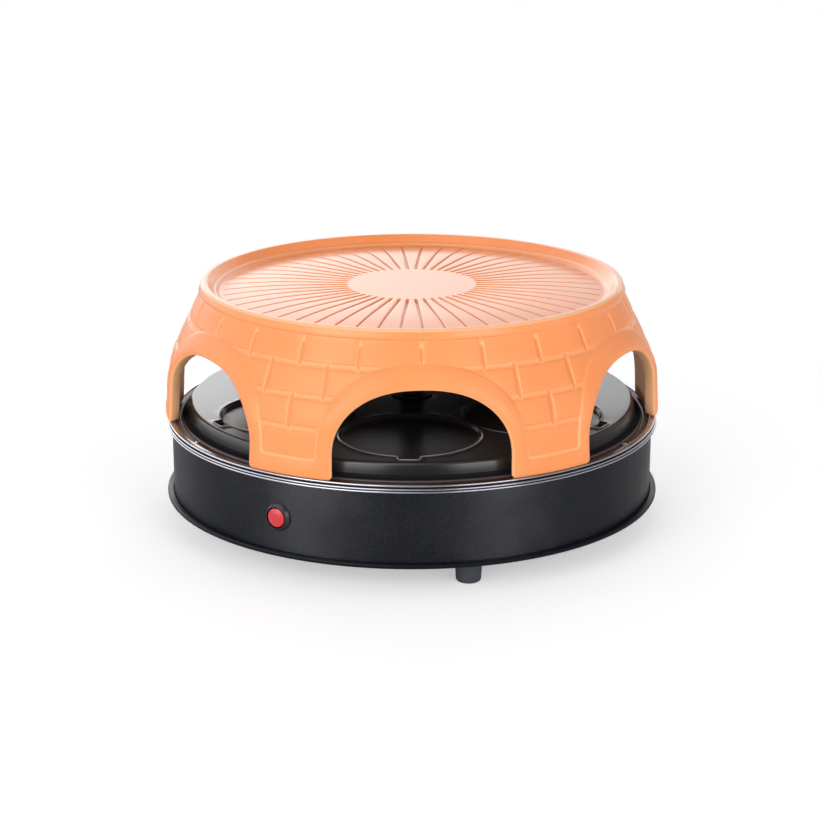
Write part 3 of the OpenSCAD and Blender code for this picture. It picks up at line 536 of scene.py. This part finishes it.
# %% Distances and heights
PILLOW, CROWN = 0.35, 1.1            # how far a brick's and a frame's middle stand above its edges
turns = [(radians(a), row) for a, row in
         [(-30, 3), (-15, 3), (0, 3), (15, 3), (30, 3), (-22.5, 2), (22.5, 2), (-30, 1), (30, 1)]]
uprights = [((a * SPREAD, courses[row]), (a * SPREAD, courses[row + 1])) for a, row in turns]
level_joints = [((-SIDE - 9, z), (SIDE + 9, z)) for z in courses[1:4]]
joints = uprights + level_joints


def distance(points, line):
    """Distance of each point from a line of points."""
    best = np.full(len(points), 1e9)
    for a, b in zip(line[:-1], line[1:]):
        a, b = np.array(a, float), np.array(b, float)
        t = np.clip(((points - a) @ (b - a)) / max((b - a) @ (b - a), 1e-12), 0, 1)
        best = np.minimum(best, np.linalg.norm(points - (a + t[:, None] * (b - a)), axis=1))
    return best


def within(points, line):
    """Whether each point is on the mouth's side of the hood line."""
    x = np.abs(points[:, 0])
    right = line[: len(line) // 2 + 1]
    order = np.argsort(right[:, 1])
    edge = np.interp(points[:, 1], right[order, 1], right[order, 0])
    return (points[:, 1] < band_z) | ((points[:, 1] < right[-1, 1]) & (x < edge))


def smooth(t):
    """A soft step from 0 to 1 while t goes from 0 to 1."""
    t = np.clip(t, 0, 1)
    return t * t * (3 - 2 * t)


def edge_drop(d, r=2.6):
    """How far a rounded edge of radius r has dropped, at distance d from it."""
    return r - np.sqrt(np.maximum(r * r - np.maximum(r - d, 0) ** 2, 0))


def relief_of(points):
    """Depth below the frames' faces, and the tone: the share of joint, with painted highlight
    lines.
    """
    away = distance(points, hood) * np.where(within(points, hood), -1, 1)
    crest = smooth((points[:, 1] - crest_z - 0.2) / 1.8)
    open_face = smooth((away + 0.85) / 1.7) * (1 - crest)
    near_up = np.min([distance(points, j) for j in uprights], axis=0)
    near_level = np.min([distance(points, j) for j in level_joints], axis=0)
    near = np.minimum(near_up, near_level)
    groove = 1 - smooth((near - 1.35) / 1.15)
    swell = np.exp(-np.maximum(near - 2.2, 0) / 2.4) * PILLOW
    hollow = np.exp(-np.maximum(away, 0) / 3.0) * PILLOW
    depth = open_face * (frame_out + (joint_d - PILLOW) * groove + np.maximum(swell, hollow))
    to_edge = distance(points, mouth)
    crown = CROWN * smooth((0.4 - away) / 5.4) * smooth(to_edge / 6.0)
    fade = smooth((crest_z - points[:, 1]) / 6.0)
    # Upright joints get the joint colour with a painted highlight at their sides; level joints a
    # faint one.
    tone = np.maximum((1 - smooth((near_up - 1.3) / 1.3)) * fade, 0.2 * groove) * (open_face > 0.4)
    # A painted highlight runs along the mouth's edge.
    tone = np.maximum(tone, 0.5 * (1 - smooth((to_edge - 0.2) / 1.3)))
    # A painted highlight runs along the frame's edge, stronger low on the wall.
    low = 0.12 + 0.26 * smooth((140 - points[:, 1]) / 25)
    tone = np.maximum(tone, low * (1 - smooth((np.abs(away) - 0.3) / 1.0)) * (1 - crest))
    depth += CROWN * (1 - open_face) * (1 - crest)
    return depth - crown + edge_drop(to_edge), tone


# %% [markdown]
# ## The dome, 4: fill the drawing and bend it round
#
# A constrained triangulation takes the outline, the lines that run beside every edge and joint,
# and a loose grid of points between them. Then each point goes to its place on the wall.


# %% Fill a drawing with triangles
def fill(outline, lines, loose, clear=1.1):
    """Triangles inside an outline that follow the given lines."""
    points, edges = [tuple(p) for p in outline], []
    edges += [(i, (i + 1) % len(points)) for i in range(len(points))]
    for line in lines:
        first = len(points)
        points += [tuple(p) for p in line]
        edges += [(first + i, first + i + 1) for i in range(len(line) - 1)]
    fixed = np.array(points)
    keep = [p for p in loose if np.min(np.hypot(*(fixed - p).T)) > clear]
    points += [tuple(p) for p in keep]
    out = delaunay_2d_cdt([Vector(p) for p in points], edges, [], 1, 1e-4)
    return np.array([tuple(v) for v in out[0]]), [list(f) for f in out[2]]


def runs(line, keep):
    """The stretches of a line whose points are kept."""
    out, now = [], []
    for p, k in zip(line, keep):
        if k:
            now.append(p)
        elif now:
            out.append(now)
            now = []
    return [r for r in out + [now] if len(r) > 1]


# %% Lines of the outer drawing
# How far lines run beside a joint, the mouth, the frame's edge and the crest's edge.
joint_steps = (-4.0, -2.7, -2.2, -1.8, -1.2, 0, 1.2, 1.8, 2.2, 2.7, 4.0)
mouth_steps = (0.3, 0.8, 1.6, 2.6)
hood_steps = (-5.0, -2.8, -1.1, -0.6, -0.15, 0.3, 0.75, 1.2, 2.4)
crest_steps = (-0.4, 0.2, 0.8, 1.4, 2.0)
top_z = shoulder[1]
row_x = np.linspace(-SIDE, SIDE, 81)
lines = [beside(mouth, -d)[1:-1] for d in mouth_steps]
lines += [beside(hood, d)[1:-1] for d in hood_steps]
lines += [[(x, crest_z + d) for x in row_x] for d in crest_steps]
for (x0, z0), (x1, z1) in joints:
    for d in joint_steps:
        if z0 == z1:
            line = np.array([(x, z0 + d) for x in row_x])
        else:
            line = np.array([(x0 + d, z) for z in np.linspace(z0, z1, 10)])
        keep = (np.abs(line[:, 0]) <= SIDE + 1e-6) & (line[:, 1] < top_z + 1e-6)
        keep &= ~within(line, hood) & (distance(line, hood) > 2.0)
        keep &= line[:, 1] < crest_z - 1.2
        lines += runs(line, keep)
print("lines in the drawing:", len(lines))

# %% Fill the outer drawing
seam_z = sorted([foot_z + d for d in (*mouth_steps, 5.0, 7.0, 9.0)] + [band_z]
                + [band_z - d for d in hood_steps] + list(np.linspace(band_z + 8, top_z, 26)))
outline = np.vstack([mouth, [(-SIDE, z) for z in seam_z], [(x, top_z) for x in row_x[1:]],
                     [(SIDE, z) for z in seam_z[-2::-1]]])
loose = [(x, z) for i, z in enumerate(np.arange(foot_z + 2, top_z, 3.2))
         for x in np.arange(-SIDE + 1.8 + 1.85 * (i % 2), SIDE - 1, 3.7)]
flat_points, triangles = fill(outline, lines, loose)
depth, joints_and_highlights = relief_of(flat_points)
print("points and triangles in the drawing:", len(flat_points), len(triangles))

# %% [markdown]
# The inner wall is smooth, so its drawing needs only the mouth's line and a coarse grid. It has
# its own radius at each height, and the mouth goes through both walls at the same width and height.


# %% Place drawings on round walls
def bend(points, r):
    """Points (across, height) on a wall of radius r, one for each point."""
    turn = points[:, 0] / SPREAD
    return np.column_stack([r * np.cos(turn), r * np.sin(turn), points[:, 1]])


def turned_by(points, angle):
    """Points of two or three columns, turned by an angle about the oven's axis."""
    turn = np.eye(np.shape(points)[1])
    turn[:2, :2] = [[cos(angle), sin(angle)], [-sin(angle), cos(angle)]]
    return points @ turn


def through(points, r_of):
    """The same points of the arch's plane, in the drawing of another wall."""
    width = outer_r(points[:, 1]) * np.sin(points[:, 0] / SPREAD)
    turn = np.arcsin(np.clip(width / r_of(points[:, 1]), -1, 1)) * SPREAD
    sole, across = points[:, 1] < foot_z + 1e-6, np.abs(points[:, 0])
    even = np.interp(across, [across[sole].min(), SIDE], [np.abs(turn[sole]).min(), SIDE])
    return np.column_stack([np.where(sole, np.sign(points[:, 0]) * even, turn), points[:, 1]])


# %% Fill the inner drawing
inner_top, lip = 160.0, 1.2          # where the smooth wall ends, and the bevel round the mouth
inner_x = np.linspace(-SIDE, SIDE, 17)
inner_mouth = through(mouth, inner_r)
inner_edge = inner_mouth.copy()
inner_edge[1:-1] = beside(inner_mouth, -lip)[1:-1]
inner_edge[[0, -1], 1] += lip
inner_outline = np.vstack([
    inner_edge, [(-SIDE, z) for z in np.linspace(inner_edge[0][1], inner_top, 9)[1:]],
    [(x, inner_top) for x in inner_x[1:]],
    [(SIDE, z) for z in np.linspace(inner_top, inner_edge[0][1], 9)[1:-1]]])
inner_loose = [(x, z) for x in np.arange(-SIDE + 6, SIDE, 9) for z in np.arange(92, inner_top, 9)]
inner_points, inner_triangles = fill(inner_outline, [], inner_loose, 4.0)
print("triangles in the inner drawing:", len(inner_triangles))

# %% [markdown]
# ## The dome, 5: join the walls
#
# The outer and inner drawings meet along the mouth and under the feet. Six copies stand side by
# side and share the points of their seams. Above them, rows of quads carry the profile over the
# rim and down to the sunken top.

# %% One sixth of the wall
sixth, sixth_relief, sixth_faces = [], [], []


def put(points, relief):
    """Adds points to the sixth, and returns the number of the first."""
    first = sum(len(p) for p in sixth)
    sixth.append(points)
    sixth_relief.append(np.broadcast_to(relief, len(points)))
    return first


first = put(bend(flat_points, outer_r(flat_points[:, 1]) - depth), joints_and_highlights)
sixth_faces += [[first + i for i in f] for f in triangles]
first = put(bend(inner_points, inner_r(inner_points[:, 1])), -1.0)
sixth_faces += [[first + i for i in f[::-1]] for f in inner_triangles]
edge_r = outer_r(mouth[:, 1]) - relief_of(mouth)[0]
# The mouth's edge as strips of (line, radius, tone), from the outer wall to the inner one.
# The outer strip's tone of 0.5 is a painted highlight on the mouth's edge; the rest is raw clay.
strips = [(mouth, edge_r, 0.5), (mouth, edge_r - 0.5, -0.9),
          (inner_mouth, inner_r(inner_mouth[:, 1]) + lip, -0.8),
          ((inner_mouth + inner_edge * 2) / 3, inner_r(inner_mouth[:, 1]) + 0.35, -1.0),
          (inner_edge, inner_r(inner_edge[:, 1]), -1.0)]
starts = [put(bend(line, r), tone) for line, r, tone in strips]
for a, b in zip(starts, starts[1:]):
    sixth_faces += [[a + i, a + i + 1, b + i + 1, b + i] for i in range(len(mouth) - 1)]
sixth, sixth_relief = np.vstack(sixth), np.concatenate(sixth_relief)
print("faces in one sixth:", len(sixth_faces))

# %% [markdown]
# The sunken top is a drawing too: a disc with fifty-two grooves that run outwards from a smooth
# middle. Each groove is a rounded trough with soft lips that narrows towards the rim. The ribs
# between the grooves are flat. One more line runs just outside each groove, so that smooth shading
# bends the light in the groove alone. The whole top rises a little towards its middle.

# %% The rim and the ribbed top
DOME_UP, CENTRE_R = 3.0, 97.0        # the rise of the top, and the radius where it starts to fall
RIB_STEP, END_POINTS = 7, 7          # spacing of points along a groove, and points round its end
groove_steps = (0.45, 0.85, 1.2, 1.55, 1.9)
GROOVES, disc_r, groove_end, groove_deep = 52, 52.0, 147.6, 2.3
top_row = sorted({round(float(x), 5) for x, z in flat_points if abs(z - top_z) < 1e-5})
turn_row = np.array([x / SPREAD + turn for turn in SIXTHS for x in top_row[:-1]])
rim = rounded([(*shoulder, 0), (165.6, 189.0, 1.6), (164.2, rim_z, 1.1), (160.4, rim_z, 2.4),
               (155.6, 185.0, 2.0), (153.6, 184.6, 0.8), (151.6, 182.5, 1.6), (149.2, 182.5, 0)], 6)
floor_r, floor_z = rim[-1]
ring = np.column_stack([np.cos(turn_row), np.sin(turn_row)]) * floor_r


def slim(x):
    """A groove is widest and deepest at the disc, and thins out towards the rim."""
    return np.interp(x, [disc_r, groove_end], [1.15, 0.62])


def capsule(d):
    """A line round a groove's middle line, at distance d from it by the disc."""
    ends = []
    for x, start, stop in ((groove_end, -pi / 2, pi / 2), (disc_r, pi / 2, 3 * pi / 2)):
        r = d * slim(x)
        ends.append([(x + r * cos(a), r * sin(a)) for a in np.linspace(start, stop, END_POINTS)])
    near, far = d, d * slim(groove_end)
    out = spaced([(disc_r, -near), (groove_end, -far)], RIB_STEP)[:-1].tolist() + ends[0]
    out += spaced([(groove_end, far), (disc_r, near)], RIB_STEP)[1:-1].tolist() + ends[1]
    return np.array(out)


top_lines = []
for i in range(GROOVES):
    a = (i + 0.5) * 2 * pi / GROOVES
    middle = spaced([(disc_r, 0), (groove_end, 0)], RIB_STEP)
    top_lines += [turned_by(line, a) for line in (middle, *map(capsule, groove_steps))]
rings = [(r * cos(a), r * sin(a)) for r in (6, 14, 22, 30, 38, 46)
         for a in np.linspace(0, 2 * pi, int(r * 0.9) + 5)[:-1]] + [(0, 0)]
top_points, top_triangles = fill(ring, top_lines, rings, 1.0)
print("points in the ribbed top:", len(top_points))

# %% The depth of the grooves
angle = np.arctan2(top_points[:, 1], top_points[:, 0]) * GROOVES / (2 * pi) - 0.5
turned_in = (angle - np.round(angle)) * 2 * pi / GROOVES
reach = np.hypot(*top_points.T)
along = reach * np.cos(turned_in)
past_end = np.maximum(0, np.maximum(disc_r - along, along - groove_end))
from_groove = np.hypot(reach * np.sin(turned_in), past_end)
thin = slim(along)
trough = np.minimum(thin, 1) * (1 - smooth((from_groove / thin - 0.1) / 1.4))
dome_up = DOME_UP * (1 - np.clip((reach - CENTRE_R) / (floor_r - CENTRE_R), 0, 1) ** 1.8)
print("deepest point of the grooves, mm:", round(float(groove_deep * trough.max()), 2))

# %% [markdown]
# Now the parts are joined. Points that lie on a seam are merged, and the faces are turned to look
# outwards. That has to come last, when the shell is closed. Every piece that the lesson models
# again ends this way, so the same functions serve them all. They also hang a piece on an empty
# for the body it rides on, and hide the solids that it replaces.


# %% Join and close a piece
MERGE = 0.00002                      # points nearer than this, in metres, become one
CLAY, CAST, ROLLED = 80, 50, 40      # edges turning less than this many degrees are shaded smooth
points, faces, tones = [], [], []


def join(part, part_faces, tone):
    """Adds a part to the piece in hand: its points, its faces and its points' relief."""
    first = sum(len(p) for p in points)
    points.append(np.asarray(part, float))
    tones.append(np.broadcast_to(tone, len(part)))
    faces.extend([[first + i for i in f] for f in part_faces])


def rows(profile, turns, tone):
    """Rows of quads round the axis along a profile of (r, z) points."""
    around = np.column_stack([np.cos(turns), np.sin(turns)])
    n = len(turns)
    part = np.vstack([np.column_stack([around * r, np.full(n, z)]) for r, z in profile])
    quads = [[a * n + i, a * n + (i + 1) % n, (a + 1) * n + (i + 1) % n, (a + 1) * n + i]
             for a in range(len(profile) - 1) for i in range(n)]
    join(part, quads, np.repeat(tone, n))


def open_piece(name, mesh):
    """Makes a piece of a mesh, and enters edit mode with all of it selected."""
    piece = bpy.data.objects.new(name, mesh)
    scene.collection.objects.link(piece)
    bpy.ops.object.select_all(action="DESELECT")
    bpy.context.view_layer.objects.active = piece
    piece.select_set(True)
    bpy.ops.object.mode_set(mode="EDIT")
    bpy.ops.mesh.select_all(action="SELECT")
    return piece


def build(name, turn=0.0):
    """Opens a piece made of the joined parts, turned about the axis, and empties the lists."""
    mesh = bpy.data.meshes.new(name)
    mesh.from_pydata(turned_by(np.vstack(points) * MM, turn).tolist(), [], faces)
    attribute = mesh.attributes.new("relief", "FLOAT", "POINT")
    attribute.data.foreach_set("value", np.concatenate(tones).astype("f"))
    for used in (points, faces, tones):
        used.clear()
    return open_piece(name, mesh)


def close_up(piece, sharp, body, slot_name, *replaced):
    """Closes and shades the open piece, gives it its finish, hangs it on its body, hides what it
    replaces.
    """
    bpy.ops.mesh.select_all(action="SELECT")
    bpy.ops.mesh.remove_doubles(threshold=MERGE)
    bpy.ops.mesh.normals_make_consistent(inside=False)
    bpy.ops.object.mode_set(mode="OBJECT")
    bpy.ops.object.shade_smooth_by_angle(angle=radians(sharp))
    wear(piece, slot_name)
    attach(piece, body)
    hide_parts(*replaced)
    check = bmesh.new()
    check.from_mesh(piece.data)
    open_edges = sum(not e.is_manifold for e in check.edges)
    print(piece.name, "faces", len(check.faces), "open edges", open_edges,
          "litres", round(check.calc_volume() * 1000, 3))
    check.free()


# %% Join the dome
DOME_TURN = radians(3)
for turn in SIXTHS:
    join(turned_by(sixth, turn), sixth_faces, sixth_relief)

# A painted highlight lies along the rim's outer corner and, fainter, along the step inside it.
rim_highlight = np.zeros(len(rim))
rim_highlight[6:12] = 0.3, 0.5, 0.5, 0.5, 0.5, 0.3
rim_highlight[29:36] = 0.3
rows(rim, turn_row, rim_highlight)
# The grooves' tone gives their lips a paler painted highlight and their bottoms some joint colour.
join(np.column_stack([top_points, floor_z + dome_up - groove_deep * trough]), top_triangles,
     trough * 0.8)

# The ceiling's rows end in one flat face.
hub_r = 40
inner_turns = np.array([x / SPREAD + turn for turn in SIXTHS for x in inner_x[:-1]])
ceiling = [(float(inner_r(inner_top)), inner_top)] + [p for p in inner_line if p[1] > inner_top]
ceiling = ceiling[:-1] + [(r, ceiling_z) for r in (120, 80, hub_r)]
rows(ceiling, inner_turns, [-1.0] * len(ceiling))
join([(hub_r * cos(t), hub_r * sin(t), ceiling_z) for t in inner_turns],
     [range(len(inner_turns))], [-1.0])
close_up(build("clay_dome", DOME_TURN), CLAY, "dome", "terracotta", "dome")

# %% [markdown]
# ## The baking plate
#
# The cast plate has six round places, each with a notch for lifting a pizza out. A thin bead runs
# round every place, and it is what catches the light. The top is drawn like the dome's wall, one
# sixth at a time, with lines beside the place's outline, and its height comes from the distance to
# that outline. The rest of the plate is turned round the axis.

# %% Outline of one place
plate_top, plate_foot, plate_r, flange_r, hole_r = 95.0, 80.3, 176.0, 183.2, 13.0
place_at, place_r, notch_end, notch_w = 108.67, 53.73, 169.9, 15.0
mouth_a = radians(11.2)
mouth_x, mouth_y = place_at + place_r * cos(mouth_a), place_r * sin(mouth_a)
round_part = [(place_at + place_r * cos(a), place_r * sin(a))
              for a in np.linspace(mouth_a, 2 * pi - mouth_a, 130)]
notch = rounded([(mouth_x, -mouth_y, 0), (mouth_x + 1.2, -notch_w / 2 - 0.8, 1.0),
                 (notch_end, -notch_w / 2, 2.0), (notch_end, notch_w / 2, 2.0),
                 (mouth_x + 1.2, notch_w / 2 + 0.8, 1.0), (mouth_x, mouth_y, 0)], 4)
place_line = spaced(round_part + notch[1:], 2.0)
land_in, land_out = hole_r + 1, plate_r - 3

# The section of the bead: distance outwards from the place's outline, height, and painted
# highlight.
bead_out, bead_up, bead_highlight = np.array([
    (-2.2, -2.8, 0), (-1.8, -2.65, 0), (-1.2, -1.6, 0), (-0.6, -0.3, 0), (-0.2, 0.45, 0),
    (0.1, 0.75, 0.2), (0.4, 0.78, 1), (0.7, 0.4, 1), (1.0, 0.08, 0.4), (1.3, 0, 0)]).T


def beside_closed(line, d):
    """A closed line, its last point the same as its first, moved to its left by d."""
    return beside(np.vstack([line[-3:-1], line, line[1:3]]), d)[2:-2]


def inside_line(points, line):
    """Whether each point lies inside a closed line."""
    odd = np.zeros(len(points), bool)
    for (x0, y0), (x1, y1) in zip(line[:-1], line[1:]):
        crosses = (y0 > points[:, 1]) != (y1 > points[:, 1])
        step = (y1 - y0) or 1e-12
        odd ^= crosses & (points[:, 0] < x0 + (points[:, 1] - y0) / step * (x1 - x0))
    return odd


def plate_depth(points):
    """Height of the plate's top against its land, and the share of painted highlight on it."""
    out = np.full(len(points), 1e9)
    for a in (-pi / 3, 0, pi / 3):
        line = turned_by(place_line, a)
        d = distance(points, line) * np.where(inside_line(points, line), -1, 1)
        out = np.minimum(out, d)
    # The painted highlight fades out towards the middle, between radii of 120 and 100 mm.
    painted_highlight = np.interp(out, bead_out, bead_highlight) * smooth((np.hypot(*points.T) - 100) / 20)
    return np.interp(out, bead_out, bead_up), painted_highlight


# %% Draw a sixth of the plate's top
PLATE_ROWS = 32                      # points along one sixth of a turned row
wedge = pi / 6
arc = np.linspace(-wedge, wedge, PLATE_ROWS + 1)
sides = np.linspace(land_in, land_out, 66)
plate_outline = np.vstack([
    [(r * cos(wedge), -r * sin(wedge)) for r in sides],
    [(land_out * cos(a), land_out * sin(a)) for a in arc[1:]],
    [(r * cos(wedge), r * sin(wedge)) for r in sides[-2::-1]],
    [(land_in * cos(a), land_in * sin(a)) for a in arc[-2:0:-1]]])
plate_lines = []
for d in bead_out:
    line = beside_closed(place_line, -d)
    plate_lines += runs(line, np.abs(np.arctan2(line[:, 1], line[:, 0])) < wedge - 0.2 / 95)
plate_loose = [(r * cos(a), r * sin(a)) for r in np.arange(24, plate_r - 5, 7)
               for a in np.linspace(-wedge, wedge, int(r / 7) + 2)[1:-1]]
plate_points, plate_faces = fill(plate_outline, plate_lines, plate_loose, 1.3)
plate_heights, plate_highlight = plate_depth(plate_points)
plate_heights += plate_top
print("faces in a sixth of the plate's top:", len(plate_faces))

# %% [markdown]
# The side steps down to a flange that sits in the tray. Rows of quads go round it, under it and up
# through the hole for the column.

# %% Join the plate
for turn in SIXTHS:
    join(np.column_stack([turned_by(plate_points, turn), plate_heights]), plate_faces, plate_highlight)
side_line = rounded([
    (land_out, plate_top, 0), (plate_r, plate_top, 2.9), (plate_r + 2.4, plate_foot + 5.6, 0.8),
    (plate_r + 1.6, plate_foot + 5.0, 0.2), (plate_r + 1.6, plate_foot + 4.2, 0.3),
    (flange_r - 1.5, plate_foot + 3.4, 0.8), (flange_r, plate_foot + 2.0, 0.8),
    (flange_r, plate_foot, 0.4), (flange_r - 7, plate_foot, 0.8), (172.6, 88.8, 2), (21, 88.8, 2),
    (21, plate_foot + 2, 0.8), (hole_r, plate_foot + 2, 0), (hole_r, plate_top - 1, 0),
    (hole_r + 0.3, plate_top - 0.3, 0), (land_in, plate_top, 0)], 5)
plate_turns = np.array([a + turn for turn in SIXTHS for a in arc[:-1]])
# A painted highlight runs along the upper edge of the flange.
flange_highlight = [0.6 if r > flange_r - 0.4 and z > plate_foot + 1.0 else 0.0 for r, z in side_line]
rows(side_line, plate_turns, flange_highlight)
close_up(build("cast_plate"), CAST, "baking_plate", "plate_coating", "baking_plate")

# %% [markdown]
# ## The steel rim
#
# A rolled ring closes the top of the base. It shows three bright beads with two dark gaps between
# them, and its short skirt reaches over the band. The profile is drawn as a chain of edges and
# spun round the axis. Little light gets into the gaps, so their faces take a darker material.


# %% Spin a profile
RIM_STEPS, FOOT_STEPS = 480, 48


def spun(name, profile, steps, body, slot_name, *replaced):
    """A closed profile of (r, z) points spun into a ring."""
    mesh = bpy.data.meshes.new(name)
    count = len(profile)
    mesh.from_pydata([(r * MM, 0, z * MM) for r, z in profile],
                     [(i, (i + 1) % count) for i in range(count)], [])
    piece = open_piece(name, mesh)
    bpy.ops.mesh.spin(steps=steps, angle=2 * pi, center=(0, 0, 0), axis=(0, 0, 1))
    close_up(piece, ROLLED, body, slot_name, *replaced)
    return piece


# %% Spin the rim
def bead(r, z, size, start, end):
    """Ten points of a bead's section, from one angle to another."""
    return [(r + size * cos(a), z + size * sin(a)) for a in np.radians(np.linspace(start, end, 10))]


ring_line = ([(189.2, 79.0), (191.2, 79.0), (191.2, 77.8), (193.9, 77.8)]
             + bead(194.2, 78.5, 0.68, -80, 80) + [(193.1, 79.25), (193.1, 79.75)]
             + bead(194.05, 80.45, 0.62, -85, 85) + [(192.4, 81.2), (192.4, 82.15)]
             + bead(193.3, 82.96, 0.74, -85, 90) + [(189.6, 83.7), (189.2, 83.3)])
steel_rim = spun("steel_rim", ring_line, RIM_STEPS, "base", "rim_steel", "rim_ring")
steel_rim.data.materials.append(finishes["gap_shade"])
for face in steel_rim.data.polygons:
    x, y, z = face.center / MM
    if 191.5 < hypot(x, y) < 193.7 and (79.15 < z < 79.85 or 81.1 < z < 82.2):
        face.material_index = 1
print("faces in the gaps:", sum(f.material_index for f in steel_rim.data.polygons))

# %% [markdown]
# ## The feet
#
# Each foot is a short cone of soft rubber with a rounded toe, and a hole for its screw. It is spun
# round the axis too. Then its points are moved to its place, and its origin stays at the world's.

# %% Spin the feet
foot_line = rounded([(3.2, 20.4, 0), (10.9, 20.4, 0.6), (10.2, 17.0, 6), (9.3, 0.0, 2.4),
                     (3.2, 0.0, 0.5), (3.2, 20.4, 0)], 6)[:-1]
for name in ("foot_front_left", "foot_front_right", "foot_rear_right", "foot_rear_left"):
    low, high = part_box(name)
    soft_foot = spun("soft_" + name, foot_line, FOOT_STEPS, "base", "black_plastic", name)
    middle = ((low[0] + high[0]) / 2, (low[1] + high[1]) / 2, 0)
    soft_foot.data.transform(Matrix.Translation(middle))
    wear(soft_foot, "foot_rubber")

# %% [markdown]
# ## The studio
#
# The floor is pale, and its far part fades to the white of the world, so no horizon shows. The
# camera sees a plain white world, but reflections see a room: it is pale behind the oven and at
# its sides, brighter on one side than on the other, and dim in front. A long soft light behind the
# oven is there for the glaze: at the low angle of this view the top mirrors it and turns pale.

# %% Floor
bpy.ops.mesh.primitive_circle_add(vertices=96, radius=3.0, fill_type="TRIFAN")
floor = bpy.context.active_object
floor.name = "floor"
tree, shader = new_material("paper", Base_Color=paint(244, 244, 245), Roughness=0.9,
                            Specular_IOR_Level=0.0)
fade = between(tree, length_along(tree, point_of(tree), (1, 1, 0)), 0.24, 0.62)
to_camera = add(tree, "LightPath").outputs["Is Camera Ray"]
white = add(tree, "Emission", Color=(1, 1, 1, 1), Strength=1.0)
glow = add(tree, "Emission", Color=(1, 1, 1, 1), Strength=calc(tree, "MULTIPLY", to_camera, 0.42))
lit = add(tree, "AddShader", _0=shader.outputs[0], _1=glow.outputs[0])
mixed = add(tree, "MixShader", _0=calc(tree, "MULTIPLY", fade, to_camera), _1=lit.outputs[0],
            _2=white.outputs[0])
tree.links.new(mixed.outputs[0], tree.nodes["Material Output"].inputs["Surface"])
wear(floor, "paper")
floor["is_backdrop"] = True
print("floor:", numbers(floor.dimensions))

# %% World and lights
world = bpy.data.worlds.new("studio")
scene.world = world
world.use_nodes = True
tree = world.node_tree
way = add(tree, "TexCoord").outputs["Generated"]
ahead, to_side = [add(tree, "VectorMath", {"operation": "DOT_PRODUCT"}, _0=way,
                      _1=direction).outputs["Value"]
                  for direction in ((0.5, -0.866, 0), (0.866, 0.5, 0))]
up = add(tree, "SeparateXYZ", Vector=way).outputs["Z"]
# Each brightness below runs from its third number to its fourth, as the ray turns from its first
# to its second.
walls = between(tree, up, 0.0, 0.85, 1.35, 0.22, soft=True)
room = calc(tree, "MULTIPLY", between(tree, ahead, 0.66, 0.92, 0.95, 0.04, soft=True),
            between(tree, to_side, -0.12, 0.12, 1.55, 0.3))
seen = add(tree, "LightPath").outputs
mirrored = calc(tree, "MAXIMUM", seen["Is Glossy Ray"], seen["Is Transmission Ray"])
soft = add(tree, "Mix", _0=mirrored, _2=walls, _3=room).outputs[0]
level = add(tree, "Mix", _0=seen["Is Camera Ray"], _2=soft, _3=1.0).outputs[0]
tree.links.new(level, tree.nodes["Background"].inputs["Strength"])
tree.nodes["Background"].inputs["Color"].default_value = (1, 1, 1, 1)
print("nodes in the world:", len(tree.nodes))


# %% Soft lights
def softbox(name, spot, size, power):
    """A rectangular soft light that faces the middle of the oven."""
    light = bpy.data.lights.new(name, "AREA")
    light.shape, light.size, light.size_y, light.energy = "RECTANGLE", *size, power
    lamp = bpy.data.objects.new(name, light)
    lamp.location = spot
    lamp.rotation_euler = (Vector((0, 0, 0.12)) - Vector(spot)).to_track_quat("-Z", "Y").to_euler()
    lamp.visible_camera = False
    scene.collection.objects.link(lamp)
    return lamp


softbox("key_light", (-0.12, -2.1, 0.85), (1.6, 1.4), 17.5)
softbox("fill_light", (1.84, -0.9, 0.7), (1.0, 1.0), 9.5)
softbox("back_light", (-0.95, 1.65, 0.88), (2.9, 1.45), 14.5)

# %% Strips for the band
# Two low strips, which light only the band, stand for the pale sheen that satin paint shows to
# either side of its middle.
satin = bpy.data.collections.new("satin")
satin.objects.link(nodes["housing_band"])
for name, spot, power in (("left_strip", (-0.35, -1.56, 0.16), 64),
                          ("right_strip", (1.5, -0.54, 0.16), 54)):
    strip = softbox(name, spot, (0.4, 0.4), power)
    strip.visible_diffuse = False
    strip.light_linking.receiver_collection = satin

# %% Measure and finish
{"cad": numbers(cad_size), "visual": numbers(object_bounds())}
